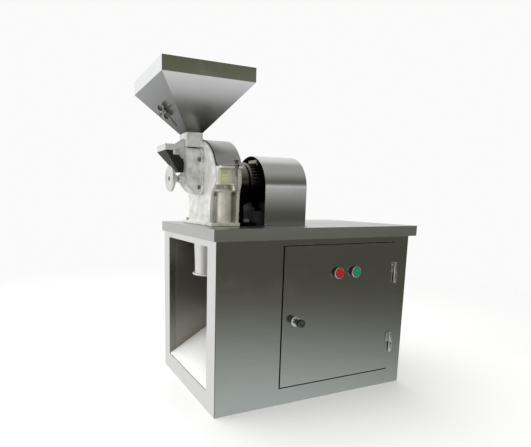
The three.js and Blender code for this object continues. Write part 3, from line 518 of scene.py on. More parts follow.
def polished(name, colour, roughness=0.10):
    s = Surface(name, Metallic=1.0)
    haze = s.noise((120, 120, 120), detail=5.0)
    lines = s.noise((60, 1500, 1500), detail=1.0, shift=8.0)
    tone = s.mix(s.remap(haze, 0.35, 0.7), colour, s.mix(1.0, colour, grey(0.88, 0.88, 0.85), "MULTIPLY"))
    rough = s.math("ADD", s.remap(haze, 0.3, 0.7, roughness - 0.03, roughness + 0.10),
                   s.remap(lines, 0.3, 0.7, 0.0, 0.04))
    return s.done(tone, rough, s.bumps(lines, 0.01 * MM, 0.2))


def printed_plate(name, node):
    """An aluminium plate with a printed border and empty fields, all without lettering."""
    plate = Span(node)
    s = Surface(name, Metallic=0.35)
    parts = s.node("ShaderNodeSeparateXYZ", {0: s.where})
    width, height = plate.x1 - plate.x0, plate.z1 - plate.z0
    across = s.remap(parts.outputs["X"], plate.x0, plate.x1, -1, 1)
    up = s.remap(parts.outputs["Z"], plate.z0, plate.z1, -1, 1)
    reach = [s.math("ABSOLUTE", v, 0.0) for v in (across, up)]
    inside = s.math("MAXIMUM", reach[0], s.math("ADD", s.math("MULTIPLY", s.math(
        "SUBTRACT", reach[1], 1.0), height / width), 1.0))
    border = s.math("MULTIPLY", s.math("GREATER_THAN", inside, 0.80), s.math("LESS_THAN", inside, 0.87))
    band = s.math("MULTIPLY", s.math("GREATER_THAN", up, 0.30), s.math("LESS_THAN", inside, 0.72))
    rows = s.math("MULTIPLY", s.math("LESS_THAN", s.math("PINGPONG", s.math("ADD", up, 0.03), 0.11), 0.02),
                  s.math("MULTIPLY", s.math("LESS_THAN", inside, 0.72), s.math("LESS_THAN", up, 0.2)))
    grime = s.remap(s.noise((160, 160, 160), detail=5.0), 0.4, 0.7)
    ink = s.math("MAXIMUM", s.math("MAXIMUM", border, rows), s.math("MULTIPLY", band, 0.45))
    tone = s.mix(ink, (0.72, 0.78, 0.44, 1), (0.12, 0.15, 0.07, 1))
    tone = s.mix(s.math("MULTIPLY", grime, 0.4), tone, (0.30, 0.31, 0.24, 1))
    return s.done(tone, s.remap(grime, 0, 1, 0.3, 0.5), s.bumps(grime, 0.05 * MM, 0.2))


HOPPER_LEFT_SLOPE = (-0.765, 0, -0.644)  # the way that the hopper's left side faces
SHADE_FROM_FACE, SHADE_FRONT = 19 * MM, -0.054  # where the painted shade on the mill casting's front part begins
MATERIALS = {
    # A darker copy of the side sheet (painted shade), lighter and greener towards the floor (painted reflection of
    # the floor).
    "panel_steel": brushed("front_sheet_painted_reflection", grey(0.44, 0.445, 0.41), "X", 0.17, anisotropy=0.3,
                           low=(grey(0.50, 0.545, 0.53), 0.06, 0.34)),
    "side_steel": brushed("side_sheet", grey(0.80, 0.80, 0.79), "Y", 0.36, contrast=0.06),
    # The side sheet again, with faces turned to the front taking a dark tint: painted shade.
    "frame_steel": brushed("frame_sheet_painted_shade", grey(0.80, 0.80, 0.79), "Y", 0.36, contrast=0.06,
                           facing=[((0, -1, 0), grey(0.30, 0.29, 0.27))]),
    # A dark, brown-grey copy of the cabinet's steel: painted shade inside the bay.
    "bay_steel": brushed("bay_sheet_painted_shade", grey(0.25, 0.235, 0.21), "X", 0.30, metal=0.85),
    # A near-white, nearly non-metal copy of the steel: painted light on the bay's sloping plate.
    "slope_steel": brushed("slope_sheet_painted_light", grey(0.93, 0.94, 0.92), "Y", 0.30, metal=0.15),
    "table_steel": brushed("table_sheet", grey(0.52, 0.53, 0.51), "X", 0.30),
    # Painted light and shade: near-black towards the foot, the left slope darker, front faces tinted olive as a
    # painted reflection, left faces brighter.
    "hopper_steel": brushed("hopper_sheet_painted_light_and_shade", grey(0.76, 0.77, 0.77), "X", 0.22, contrast=0.04,
                            low=(grey(0.03, 0.034, 0.024), 0.748, 0.872),
                            facing=[(HOPPER_LEFT_SLOPE, grey(0.36)), ((0, -1, 0), grey(0.74, 0.77, 0.60)),
                                    ((-1, 0, 0), grey(1.2))]),
    "rim_steel": brushed("rim_sheet", grey(0.84, 0.85, 0.84), "X", 0.34, contrast=0.05),
    # Painted reflection: the bowl's sheet made near-black and non-metal for the dark it mirrors.
    "funnel_steel": brushed("funnel_sheet_painted_dark_reflection", grey(0.012, 0.013, 0.010), "X", 0.45, contrast=0.05, metal=0.0,
                            Specular_IOR_Level=0.25),
    "cover_steel": brushed("cover_sheet", grey(0.66, 0.67, 0.66), "X", 0.22, contrast=0.03,
                           low=(grey(0.30, 0.31, 0.29), 0.535, 0.60)),
    "wrap_steel": brushed("wrap_sheet", grey(0.47, 0.475, 0.46), "Y", 0.30, contrast=0.06),
    # The casting's front part takes a darker, yellower tint as painted shade.
    "mill_casting": rough_cast("pale_casting", grey(0.86, 0.86, 0.84), grey(0.64, 0.64, 0.60), 0.42,
                               metal=0.5, front_painted_shade=(grey(0.80, 0.79, 0.70),
                                                   Span("mill_housing").x0 + SHADE_FROM_FACE, SHADE_FRONT)),
    "throat_casting": rough_cast("throat_skin", grey(0.82, 0.82, 0.81), grey(0.50, 0.50, 0.48),
                                 0.38, 300, 0.5),
    "machined_steel": machined("machined", grey(0.58, 0.58, 0.565)),
    "wear_steel": rough_cast("wear_metal", grey(0.24, 0.235, 0.225), grey(0.12, 0.115, 0.11), 0.45, 300),
    # Black enamel, taken darker still: painted shade under the motor cover.
    "dark_casting": enamel("black_enamel_painted_shade", grey(0.007), grey(0.05, 0.048, 0.044), 0.5, 0.05, 0.05),
    # Painted light and shade by height: warm grey on the upper part as though lit, near-black below.
    "bell_casting": brushed("bell_painted_light_and_shade", grey(0.40, 0.37, 0.31), "X", 0.34, contrast=0.2,
                            low=(grey(0.006), 0.612, 0.668)),
    "hardware_chrome": polished("chrome", grey(0.72, 0.73, 0.72)),
    "knob_metal": polished("dark_satin", grey(0.13, 0.13, 0.125), 0.25),
    "nut_black": enamel("black_steel", grey(0.018), grey(0.16), 0.35),
    "plate_green": printed_plate("printed_plate", "blank_rating_plate"),
    "bezel_metal": polished("satin_bezel", grey(0.62, 0.63, 0.62), 0.18),
    "red_cap": moulded("red_plastic", (0.50, 0.002, 0.006, 1), 0.36, coat=0.1),
    "green_cap": moulded("green_plastic", (0.010, 0.25, 0.11, 1), 0.36, coat=0.1),
    "black_plastic": moulded("black_plastic", grey(0.018), 0.42, bump=0.1),
    "lining_felt": moulded("black_felt", grey(0.006), 0.9, bump=0.3),
    "spider_rubber": moulded("red_rubber", (0.35, 0.035, 0.02, 1), 0.6, bump=0.15),
}

# The record's slot for each finish that only some of that slot's pieces have.
FINISH_OF = {"left_frame": "frame_steel", "bay_slope_plate": "slope_steel", "wrap_cover": "wrap_steel",
             "bearing_bell_housing": "bell_casting", "motor_drive_shield": "bell_casting",
             "motor_frame": "bell_casting"}
RING_SHEETS = {"front_frame", "tabletop"}  # one joined face round their opening would close it


def dress_cad_nodes():
    """Every CAD node gets its slot's material, and sheet metal gets its small folded edges."""
    sheets = {
        "tabletop": 1.6, "left_frame": 0.7, "front_frame": 0.7, "right_panel": 0.7, "back_panel": 0.7,
        "bottom_panel": 0.5, "bay_liner": 0.5, "bay_slope_plate": 0.6, "cabinet_door": 1.2,
        "electrics_plate": 0.5, "feed_hopper": 0.5, "feed_duct": 0.8, "side_funnel": 0.5,
        "motor_plinth": 1.0, "feed_gate": 0.4, "throttle_plate": 0.4, "contactor_and_relay": 0.8,
        "latch_cam": 0.4,
    }
    for node, obj in frame["nodes"].items():
        obj.data.materials.clear()
        obj.data.materials.append(MATERIALS[FINISH_OF.get(node, SLOT_OF[node])])
        if node in sheets:
            weld = obj.modifiers.new("weld", "WELD")
            weld.merge_threshold = WELD_DISTANCE
            if node not in RING_SHEETS:
                flat = obj.modifiers.new("flat", "DECIMATE")
                flat.decimate_type, flat.angle_limit = "DISSOLVE", math.radians(1)
            rounded_edges(obj, sheets[node] * MM, 2)


# ---------------------------------------------------------------- fasteners

def hexagon(across, u, v, turn=0.0):
    r = across / math.sqrt(3)
    return [(u + r * math.cos(turn + k * math.pi / 3), v + r * math.sin(turn + k * math.pi / 3))
            for k in range(6)]


def hex_head(axis, u, v, across, foot, top, turn=0.0):
    """A hexagon between `foot` and `top`, its top corners turned off at 30 degrees."""
    head = prism(hexagon(across, u, v, turn), axis, foot, top)
    r = across / math.sqrt(3)
    rise = (top - foot) / abs(top - foot)
    skim = 0.55 * (r - across / 2 * 0.96)
    blank = lathe([(0, foot - rise * MM), (1.2 * r, foot - rise * MM), (1.2 * r, top - rise * 1.25 * skim),
                   (0.47 * across, top), (0, top)], axis, u, v, 48)
    return boolean(head, "INTERSECT", [blank])


def bolt(axis, u, v, across, foot, top):
    """A hex head on a washer."""
    rise = 1 if top > foot else -1
    washer = rod(axis, u, v, 0.62 * across, foot, foot + rise * 1.2 * MM, 0.3 * MM, 32)
    head = hex_head(axis, u, v, across, foot + rise * 1.1 * MM, top, 0.3)
    return gather(washer, head)


def screw_head(axis, u, v, radius, foot, top):
    """A pan head with a cross recess."""
    rise = 1 if top > foot else -1
    deep = 0.45 * abs(top - foot)
    head = lathe(soften([(0, foot), (radius, foot), (radius * 0.98, foot + 0.35 * (top - foot)),
                         (radius * 0.55, top), (0, top)], 0.5 * radius, closed=False), axis, u, v, 32)
    arm, half = 0.55 * radius, 0.13 * radius
    depth = (top - rise * deep, top + rise * MM)
    bars = [prism([(u - a, v - b), (u + a, v - b), (u + a, v + b), (u - a, v + b)], axis, *depth)
            for a, b in ((arm, half), (half, arm))]
    return cut(head, *bars)


def threaded(axis, u, v, radius, a, b, pitch=1.5 * MM):
    """A screw with thread crests and roots turned along its length."""
    rise = 1 if b > a else -1
    turns = int(abs(b - a) / pitch)
    profile = [(0, a), (radius - 0.45 * pitch, a)]
    for k in range(turns):
        at = a + rise * pitch * (k + 0.5)
        profile += [(radius, at), (radius - 0.45 * pitch, at + rise * 0.5 * pitch)]
    return lathe(profile + [(radius - 0.45 * pitch, b), (0, b)], axis, u, v, 32)


# ---------------------------------------------------------------- cabinet

def hinges():
    """Lift-off hinges with round knuckle ends, leaves with round corners and screws."""
    for level in ("lower", "upper"):
        base, barrel = Span(level + "_hinge_base"), Span(level + "_hinge_barrel")
        radius = 4.5 * MM
        x, y = base.x0 + radius, barrel.y0 + radius
        meet = barrel.z0
        leaf = base.y1 - 2 * MM
        low = rod("Z", x, y, radius, base.z0, meet - 0.4 * MM, 1.2 * MM)
        neck = box(x - 2 * MM, x + 2 * MM, y, base.y1, base.z0 + MM, meet - 0.4 * MM)
        plate = prism(rectangle(x, base.x1, base.z0, meet - 0.4 * MM, 3 * MM), "Y", leaf, base.y1)
        ring = rod("Z", x, y, radius * 0.8, meet - MM, meet + 0.2 * MM)
        pin = rod("Z", x, y, 2 * MM, meet - MM, base.z1)
        screws = [screw_head("Y", x + 10 * MM, z, 2.6 * MM, leaf, leaf - 0.9 * MM)
                  for z in (base.z0 + 7 * MM, meet - 8 * MM)]
        stand_for(gather(low, neck, plate, ring, pin, *screws), level + "_hinge_base")
        shell = lathe(soften([(2.1 * MM, meet + 0.4 * MM), (radius, meet + 0.4 * MM), (radius, barrel.z1),
                              (2.1 * MM, barrel.z1)], 1.2 * MM, steps=5), "Z", x, y)
        cap = lathe(soften([(0, barrel.z1 - 2 * MM), (2.6 * MM, barrel.z1 - 2 * MM), (2.4 * MM, barrel.z1),
                            (0, barrel.z1)], MM, closed=False), "Z", x, y, 32)
        front = barrel.y1 - 2 * MM
        wing = prism(rectangle(barrel.x0, x - 1.5 * MM, meet + 0.4 * MM, barrel.z1, 3 * MM),
                     "Y", front, barrel.y1)
        bridge = box(x - 4.4 * MM, x - 2.2 * MM, y, barrel.y1, meet + 1.4 * MM, barrel.z1 - MM)
        heads = [screw_head("Y", barrel.x0 + 5 * MM, z, 2.6 * MM, front, front - 0.9 * MM)
                 for z in (meet + 8 * MM, barrel.z1 - 7 * MM)]
        stand_for(gather(shell, cap, wing, bridge, *heads), level + "_hinge_barrel")


def push_buttons():
    """Metal bezels on the door with domed caps in them, and their contact blocks behind."""
    door = Span("cabinet_door")
    for name in ("stop", "start"):
        body, cap = Span(name + "_button_body"), Span(name + "_button")
        x, z = body.cx, body.cz
        outer, bore = (body.x1 - body.x0) / 2, (cap.x1 - cap.x0) / 2 + 0.4 * MM
        seat, front = door.y0 - 0.3 * MM, body.y0
        ring = [(bore, front + 0.8 * MM), (bore + 0.9 * MM, front), (outer - 1.2 * MM, front + 0.1 * MM),
                (outer, front + 1.8 * MM), (outer, front + 5 * MM), (outer - 0.8 * MM, front + 5.2 * MM),
                (outer - 0.8 * MM, seat), (bore + MM, seat), (bore + MM, 12 * MM + seat),
                (bore, 12 * MM + seat)]
        bezel = lathe(soften(ring, 0.5 * MM), "Y", x, z, 96)
        # A black ring round the bezel's side, between its front ring and the door.
        black_collar = lathe(soften([(outer - 0.7 * MM, front + 5.4 * MM), (outer - 0.1 * MM, front + 5.4 * MM),
                               (outer - 0.1 * MM, seat), (outer - 0.7 * MM, seat)], 0.2 * MM), "Y", x, z, 96)
        add_piece(black_collar, name + "_button_black_collar", "cabinet_door", "black_plastic")
        nut = cut(prism(hexagon(36 * MM, x, z), "Y", door.y0 + 2.4 * MM, door.y0 + 5.4 * MM),
                  lathe([(0, door.y0), (bore + MM, door.y0), (bore + MM, door.y0 + 9 * MM),
                         (0, door.y0 + 9 * MM)], "Y", x, z, 48))
        stand_for(gather(bezel, nut), name + "_button_body")
        case = prism(rectangle(body.x0, body.x1, body.z0, body.z1, 2 * MM), "Y", body.y1 - 30 * MM, body.y1)
        waist = rod("Y", x, z, 13 * MM, body.y1 - 38 * MM, body.y1 - 29.5 * MM)
        screws = [screw_head("Y", x + side * 8 * MM, body.z0 + 6 * MM, 3 * MM, body.y1 - 0.6 * MM, body.y1)
                  for side in (-1, 1)]
        plunger_hole = rod("Y", x, z, 6.8 * MM, body.y1 - 40 * MM, cap.y1 + 4.6 * MM)
        block = gather(cut(join(case, waist), plunger_hole), *screws)
        add_piece(block, name + "_contact_block", "cabinet_door", "black_plastic", 0.5 * MM)
        radius = (cap.x1 - cap.x0) / 2
        crown = [(0, cap.y0 + 0.9 * MM), (radius * 0.55, cap.y0 + 0.75 * MM),
                 (radius * 0.80, cap.y0 + 0.3 * MM), (radius * 0.88, cap.y0), (radius, cap.y0 + 1.8 * MM),
                 (radius, door.y0 - 3 * MM), (6 * MM, door.y0 - 3 * MM), (6 * MM, cap.y1), (0, cap.y1)]
        stand_for(lathe(soften(crown, 0.9 * MM, closed=False), "Y", x, z, 72), name + "_button")


def latch():
    """A turned knob on a polished ring; its square shaft turns the cam behind the door."""
    ring, knob = Span("latch_rosette"), Span("latch_knob")
    x, z = knob.cx, knob.cz
    outer = (ring.x1 - ring.x0) / 2
    profile = [(5.4 * MM, ring.y0), (8.5 * MM, ring.y0), (9.5 * MM, ring.y0 + 0.8 * MM),
               (11 * MM, ring.y0 + 0.2 * MM), (outer - 1.5 * MM, ring.y0 + 1.8 * MM), (outer, ring.y1),
               (5.4 * MM, ring.y1)]
    stand_for(lathe(soften(profile, 0.6 * MM), "Y", x, z, 96), "latch_rosette")
    radius = (knob.x1 - knob.x0) / 2
    front = knob.y0
    turned = [(0, front + 0.7 * MM), (radius * 0.35, front + 0.6 * MM), (radius * 0.62, front),
              (radius * 0.86, front + 0.4 * MM), (radius, front + 2.4 * MM), (radius, front + 12 * MM),
              (radius * 0.92, front + 17 * MM), (radius * 0.66, front + 23 * MM),
              (radius * 0.60, front + 26.4 * MM), (5 * MM, front + 26.8 * MM), (5 * MM, knob.y1),
              (0, knob.y1)]
    handle = lathe(soften(turned, 1.2 * MM, closed=False), "Y", x, z, 96)
    flutes = [rod("Y", *p, 0.9 * MM, front + 3 * MM, front + 12.5 * MM, steps=12)
              for p in circle(x, z, radius + 0.4 * MM, 24)]
    stand_for(cut(handle, *flutes), "latch_knob")


def spigot():
    """The round outlet under the table, with a rolled rim for tying a bag."""
    s = Span("discharge_spigot")
    wall, neck, top = 2 * MM, 37 * MM, 39.5 * MM
    rim = s.z0 + 3.6 * MM
    flange = (s.x1 - s.x0) / 2
    outer = [(neck - wall, s.z0 + 1.5 * MM), (neck - 0.6 * MM, s.z0)]
    bead = [(neck + 3.6 * MM + 3.6 * MM * math.cos(a), rim + 3.6 * MM * math.sin(a))
            for a in (math.radians(-90 + 15 * k) for k in range(15))]
    upper = [(neck, rim + 5 * MM), (neck, s.z0 + 30 * MM), (top + 2 * MM, s.z1 - 8 * MM),
             (flange, s.z1 - 6.2 * MM), (flange, s.z1 - 3 * MM), (top, s.z1 - 3 * MM), (top, s.z1),
             (top - wall, s.z1), (top - wall, s.z1 - 30 * MM), (neck - wall, s.z0 + 30 * MM)]
    profile = [(min(r, flange), h) for r, h in outer + bead + upper]
    stand_for(lathe(soften(profile, 1.2 * MM), "Z", s.cx, s.cy, 96), "discharge_spigot")


def cable_gland():
    """A ribbed compression gland: lock nut inside, ribbed dome outside."""
    g, wall = Span("cable_gland"), Span("back_panel")
    radius, hole = 12 * MM, 5.5 * MM
    out = wall.y1 + 0.3 * MM
    dome = [(hole, g.y0), (10 * MM, g.y0), (10 * MM, out), (radius * 0.98, out),
            (radius * 0.98, out + 2 * MM), (10.6 * MM, out + 3 * MM), (10.6 * MM, out + 12 * MM),
            (9.4 * MM, g.y1 - 3.5 * MM), (7.2 * MM, g.y1), (hole, g.y1)]
    body = lathe(soften(dome, 0.8 * MM), "Y", g.cx, g.cz, 64)
    ribs = [turned_copy(box(-0.5 * MM, 0.5 * MM, out + 3.5 * MM, g.y1 - 4 * MM, 9.5 * MM, 11.4 * MM),
                        Matrix.Translation((g.cx, 0, g.cz)) @ Matrix.Rotation(k * math.pi / 9, 4, "Y"))
            for k in range(18)]
    bore = [(0, g.y0 - MM), (9.6 * MM, g.y0 - MM), (9.6 * MM, wall.y1), (0, wall.y1)]
    nut = cut(hex_head("Y", g.cx, g.cz, 23.6 * MM, wall.y0 - 0.4 * MM, g.y0 + 6 * MM),
              lathe(bore, "Y", g.cx, g.cz))
    stand_for(gather(body, nut, *ribs), "cable_gland")


def electrics():
    """Terminal screws on the contactor, and screws on its plate."""
    c, plate = Span("contactor_and_relay"), Span("electrics_plate")
    x0, x1 = c.x0 + 3 * MM, c.x1 - 3 * MM
    heads = []
    for z in (c.z0 + 66 * MM, c.z1 - 5 * MM):
        for k in range(4):
            x = x0 + (x1 - x0) * (k + 0.5) / 4
            heads.append(screw_head("Y", x, z, 3.2 * MM, c.y0 + 12.2 * MM, c.y0 + 10.6 * MM))
    add_piece(gather(*heads), "terminal_screws", "stand", "machined_steel")
    corners = [screw_head("Y", x, z, 4 * MM, plate.y0 + 0.2 * MM, plate.y0 - 2.4 * MM)
               for x in (plate.x0 + 15 * MM, plate.x1 - 15 * MM)
               for z in (plate.z0 + 15 * MM, plate.z1 - 15 * MM)]
    add_piece(gather(*corners), "plate_screws", "stand", "machined_steel")


# ---------------------------------------------------------------- milling head

def milling_head():
    """The mill's casting, the wrap cover with its seal and slot, their bolts, and the blank plate."""
    spindle, housing, cover = Span("mill_spindle"), Span("mill_housing"), Span("wrap_cover")
    y, z = spindle.cy, spindle.cz
    wall, radius = 9 * MM, 118 * MM
    face = housing.x0 + 8 * MM
    back = housing.x1
    fine_face = cut(prism(arc(y, z, radius, 0, 180), "X", face, face + wall),
                    box(face - MM, face + 20 * MM, y - 24 * MM, y + 24 * MM, z - 20 * MM, z + 48 * MM))
    fine_back = cut(prism(arc(y, z, radius, 0, 180), "X", back - wall, back),
                    rod("X", y, z, 14 * MM, back - 20 * MM, back + 5 * MM))
    column_x, column_y = face + 40 * MM, y - 88 * MM
    column = rod("Z", column_x, column_y, 21 * MM, housing.z0, housing.z0 + 99 * MM, 3 * MM)
    ring = lathe([(radius - 19 * MM, face - 1.2 * MM), (radius - 14 * MM, face - 1.2 * MM),
                  (radius - 14 * MM, face + MM), (radius - 19 * MM, face + MM)], "X", y, z, 128)
    keep = box(face - 4 * MM, face + 2 * MM, y - 150 * MM, y + 150 * MM, z - 24 * MM, z + 200 * MM)
    ring = boolean(ring, "INTERSECT", [keep])
    shell = gather(copy_of("mill_housing"), fine_face, fine_back, column, ring)
    stand_for(cast(shell), "mill_housing", name="mill_housing_casting")

    start = math.degrees(math.asin((cover.z0 - z) / (cover.z1 - z)))
    inner, outer = radius + 0.4 * MM, cover.z1 - z
    band = arc(y, z, outer, start, 180 - start, 96) + arc(y, z, inner, 180 - start, start, 96)
    wrap = prism(band, "X", cover.x0, cover.x1)
    block = Span("blank_rating_plate")
    bx0, bx1 = face + 6 * MM, face + 72 * MM
    near, far = cover.y0, cover.y1
    slot_x = Span("swing_bolt").cx
    flange = 5 * MM
    front = cut(box(bx0, bx1, near, y - 111 * MM, cover.z0, cover.z0 + flange),
                box(slot_x - 5 * MM, slot_x + 5 * MM, near - 20 * MM, near + 12 * MM,
                    cover.z0 - MM, cover.z0 + 9 * MM))
    rear = box(bx0, bx1, y + 111 * MM, far, cover.z0, cover.z0 + flange)
    stand_for(join(wrap, front, rear), "wrap_cover", edge=0.7 * MM)
    seal = (arc(y, z, outer + 0.5 * MM, start + 1, 179 - start, 96)
            + arc(y, z, outer + 0.05 * MM, 179 - start, start + 1, 96))
    add_piece(prism(seal, "X", cover.x0, cover.x0 + 3 * MM), "wrap_cover_gasket", "stand", "lining_felt")

    bolts = [bolt("Z", x, far - 12 * MM, 13 * MM, cover.z0 + flange, cover.z0 + flange + 7 * MM)
             for x in (bx0 + 14 * MM, bx1 - 14 * MM)]
    add_piece(gather(*bolts), "cover_flange_bolts", "stand", "machined_steel")
    feet = [bolt("Z", housing.x0 + 14 * MM, y + side * 100 * MM, 13 * MM,
                 housing.z0 + 9.7 * MM, housing.z0 + 17 * MM)
            for side in (-1, 1)]
    add_piece(gather(*feet), "mill_foot_bolts", "stand", "machined_steel")

    plate = prism(rectangle(block.x0, block.x1, block.z0, block.z1, 1.5 * MM), "Y", block.y0, block.y1)
    dome = [(0, block.y0 + 0.2 * MM), (1.3 * MM, block.y0 + 0.2 * MM), (0.8 * MM, block.y0 - 0.6 * MM),
            (0, block.y0 - 0.6 * MM)]
    rivets = [lathe(soften(dome, 0.4 * MM, closed=False), "Y", x, v, 24)
              for x in (block.x0 + 3 * MM, block.x1 - 3 * MM)
              for v in (block.z0 + 3 * MM, block.z1 - 3 * MM)]
    stand_for(plate, "blank_rating_plate", edge=0.2 * MM)
    add_piece(gather(*rivets), "plate_rivets", "stand", "machined_steel")


def swing_bolt():
    """An eye bolt with a thread, and its nut with a round collar."""
    b, nut = Span("swing_bolt"), Span("swing_bolt_nut")
    x, y = nut.cx, nut.cy
    eye_z = b.z0 + 7.5 * MM
    eye = lathe(soften([(3.12 * MM, b.x0), (7.5 * MM, b.x0), (7.5 * MM, b.x1), (3.12 * MM, b.x1)],
                       1.2 * MM), "X", y, eye_z, 48)
    shank = rod("Z", x, y, 3.9 * MM, eye_z + 5 * MM, eye_z + 32 * MM)
    thread = threaded("Z", x, y, 4 * MM, eye_z + 31 * MM, b.z1, 1.25 * MM)
    stand_for(gather(eye, shank, thread), "swing_bolt")
    bore = rod("Z", x, y, 4.05 * MM, nut.z0 - MM, nut.z1 + MM, 0.1 * MM)
    head = hex_head("Z", x, y, 17 * MM, nut.z0, nut.z0 + 7 * MM)
    collar = lathe(soften([(0, nut.z0 + 6 * MM), (7.4 * MM, nut.z0 + 6 * MM), (7 * MM, nut.z1), (0, nut.z1)],
                          MM, closed=False), "Z", x, y)
    stand_for(cut(gather(head, collar), bore), "swing_bolt_nut", edge=0.3 * MM)


def bearing_housing():
    """The dark housing as one casting with its collar, and its foot and ring bolts."""
    h, spindle = Span("bearing_bell_housing"), Span("mill_spindle")
    y, z = spindle.cy, spindle.cz
    radius, tail = 61 * MM, h.x1 - 8 * MM
    bell = lathe([(49.9 * MM, h.x0 + 30 * MM), (radius, h.x0 + 22 * MM), (radius, tail), (49.9 * MM, tail)],
                 "X", y, z, 128)
    collar = lathe([(40 * MM, h.x0), (radius, h.x0), (radius, h.x0 + 8 * MM), (52 * MM, h.x0 + 14 * MM),
                    (52 * MM, h.x0 + 20 * MM), (radius, h.x0 + 26 * MM), (40 * MM, h.x0 + 26 * MM)],
                   "X", y, z, 128)
    shell = gather(copy_of("bearing_bell_housing"), bell, collar)
    stand_for(cast(shell, 1.8 * MM), "bearing_bell_housing", name="bearing_bell_casting")
    feet = [bolt("Z", h.cx + 3 * MM, y + side * 82 * MM, 16 * MM, h.z0 + 9.7 * MM, h.z0 + 19 * MM)
            for side in (-1, 1)]
    add_piece(gather(*feet), "bell_foot_bolts", "stand", "nut_black")
    ring = [bolt("X", *p, 8 * MM, h.x0 + 8 * MM, h.x0 + 14 * MM)
            for p in circle(y, z, 55 * MM, 6, math.pi / 6)]
    add_piece(gather(*ring), "bell_ring_bolts", "stand", "nut_black")


# ---------------------------------------------------------------- motor

def motor():
    """A finned frame between two shields, with a terminal box, a fan cowl and foot bolts."""
    f, spindle = Span("motor_frame"), Span("mill_spindle")
    drive, rear, cowl = Span("motor_drive_shield"), Span("motor_fan_shield"), Span("motor_fan_cowl")
    y, z, radius = spindle.cy, spindle.cz, 62 * MM
    core = lathe(soften([(44 * MM, f.x0), (54 * MM, f.x0), (54 * MM, f.x1), (44 * MM, f.x1)], MM),
                 "X", y, z, 96)
    blade = soften([(f.x0 + 3 * MM, 53 * MM), (f.x1 - 3 * MM, 53 * MM), (f.x1 - 5 * MM, radius),
                    (f.x0 + 5 * MM, radius)], MM)
    fins, fin_count, bare = [], 36, 0.12  # no fins at the very bottom, between the feet
    for k in range(fin_count):
        a = 2 * math.pi * (k + 0.5) / fin_count
        if abs(math.sin(a) + 1) < bare:
            continue
        turn = Matrix.Translation((0, y, z)) @ Matrix.Rotation(a - math.pi / 2, 4, "X")
        fins.append(turned_copy(prism(blade, "Y", -1.1 * MM, 1.1 * MM), turn))
    foot = [(y - 55 * MM, f.z0), (y + 55 * MM, f.z0), (y + 55 * MM, f.z0 + 8 * MM),
            (y + 38 * MM, f.z0 + 13 * MM), (y + 34 * MM, z - 38 * MM), (y - 34 * MM, z - 38 * MM),
            (y - 38 * MM, f.z0 + 13 * MM), (y - 55 * MM, f.z0 + 8 * MM)]
    feet = []
    for x in (f.x0 + 12 * MM, f.x1 - 30 * MM):
        feet.append(prism(soften(foot, 2 * MM), "X", x, x + 18 * MM))
        feet += [bolt("Z", x + 9 * MM, y + side * 47 * MM, 10 * MM, f.z0 + 7.8 * MM, f.z0 + 14 * MM)
                 for side in (-1, 1)]
    box_top = f.z1
    case = [prism(rectangle(f.x0 + 36 * MM, f.x0 + 74 * MM, y - 20 * MM, y + 20 * MM, 4 * MM), "Z",
                  z + 52 * MM, box_top - 9 * MM),
            prism(rectangle(f.x0 + 30 * MM, f.x0 + 80 * MM, y - 26 * MM, y + 26 * MM, 5 * MM), "Z",
                  box_top - 11 * MM, box_top - 2.2 * MM)]
    case += [screw_head("Z", f.x0 + dx, y + dy, 3 * MM, box_top - 2.4 * MM, box_top - 0.6 * MM)
             for dx in (35 * MM, 75 * MM) for dy in (-21 * MM, 21 * MM)]
    stand_for(gather(core, *fins, *feet, *case), "motor_frame", edge=0.4 * MM)

    outer = (drive.y1 - drive.y0) / 2
    for node, near, far in (("motor_drive_shield", drive.x1, drive.x0),
                            ("motor_fan_shield", rear.x0, rear.x1)):
        step = 1 if far > near else -1
        profile = [(12 * MM, near), (outer, near), (outer, near + step * 4.5 * MM),
                   (outer - 4 * MM, near + step * 6 * MM), (26 * MM, near + step * 6 * MM), (22 * MM, far),
                   (12 * MM, far)]
        plate = lathe(soften(profile, MM), "X", y, z, 96)
        screws = [bolt("X", *p, 7 * MM, near + step * 5.8 * MM, far)
                  for p in circle(y, z, 54 * MM, 4, math.pi / 4)]
        stand_for(gather(plate, *screws), node)

    shell = lathe(soften([(61 * MM, cowl.x0), (63 * MM, cowl.x0), (63 * MM, cowl.x1 - 7 * MM),
                          (55 * MM, cowl.x1), (0, cowl.x1), (0, cowl.x1 - 1.5 * MM),
                          (54 * MM, cowl.x1 - 1.5 * MM), (61 * MM, cowl.x1 - 7.5 * MM)], 1.5 * MM),
                  "X", y, z, 96)
    slots = [rod("X", *p, 3.4 * MM, cowl.x1 - 4 * MM, cowl.x1 + MM, 0.1 * MM, 12)
             for ring_radius in (14 * MM, 24 * MM, 34 * MM, 44 * MM)
             for p in circle(y, z, ring_radius, int(ring_radius / (3.3 * MM)))]
    stand_for(cut(shell, gather(*slots)), "motor_fan_cowl")


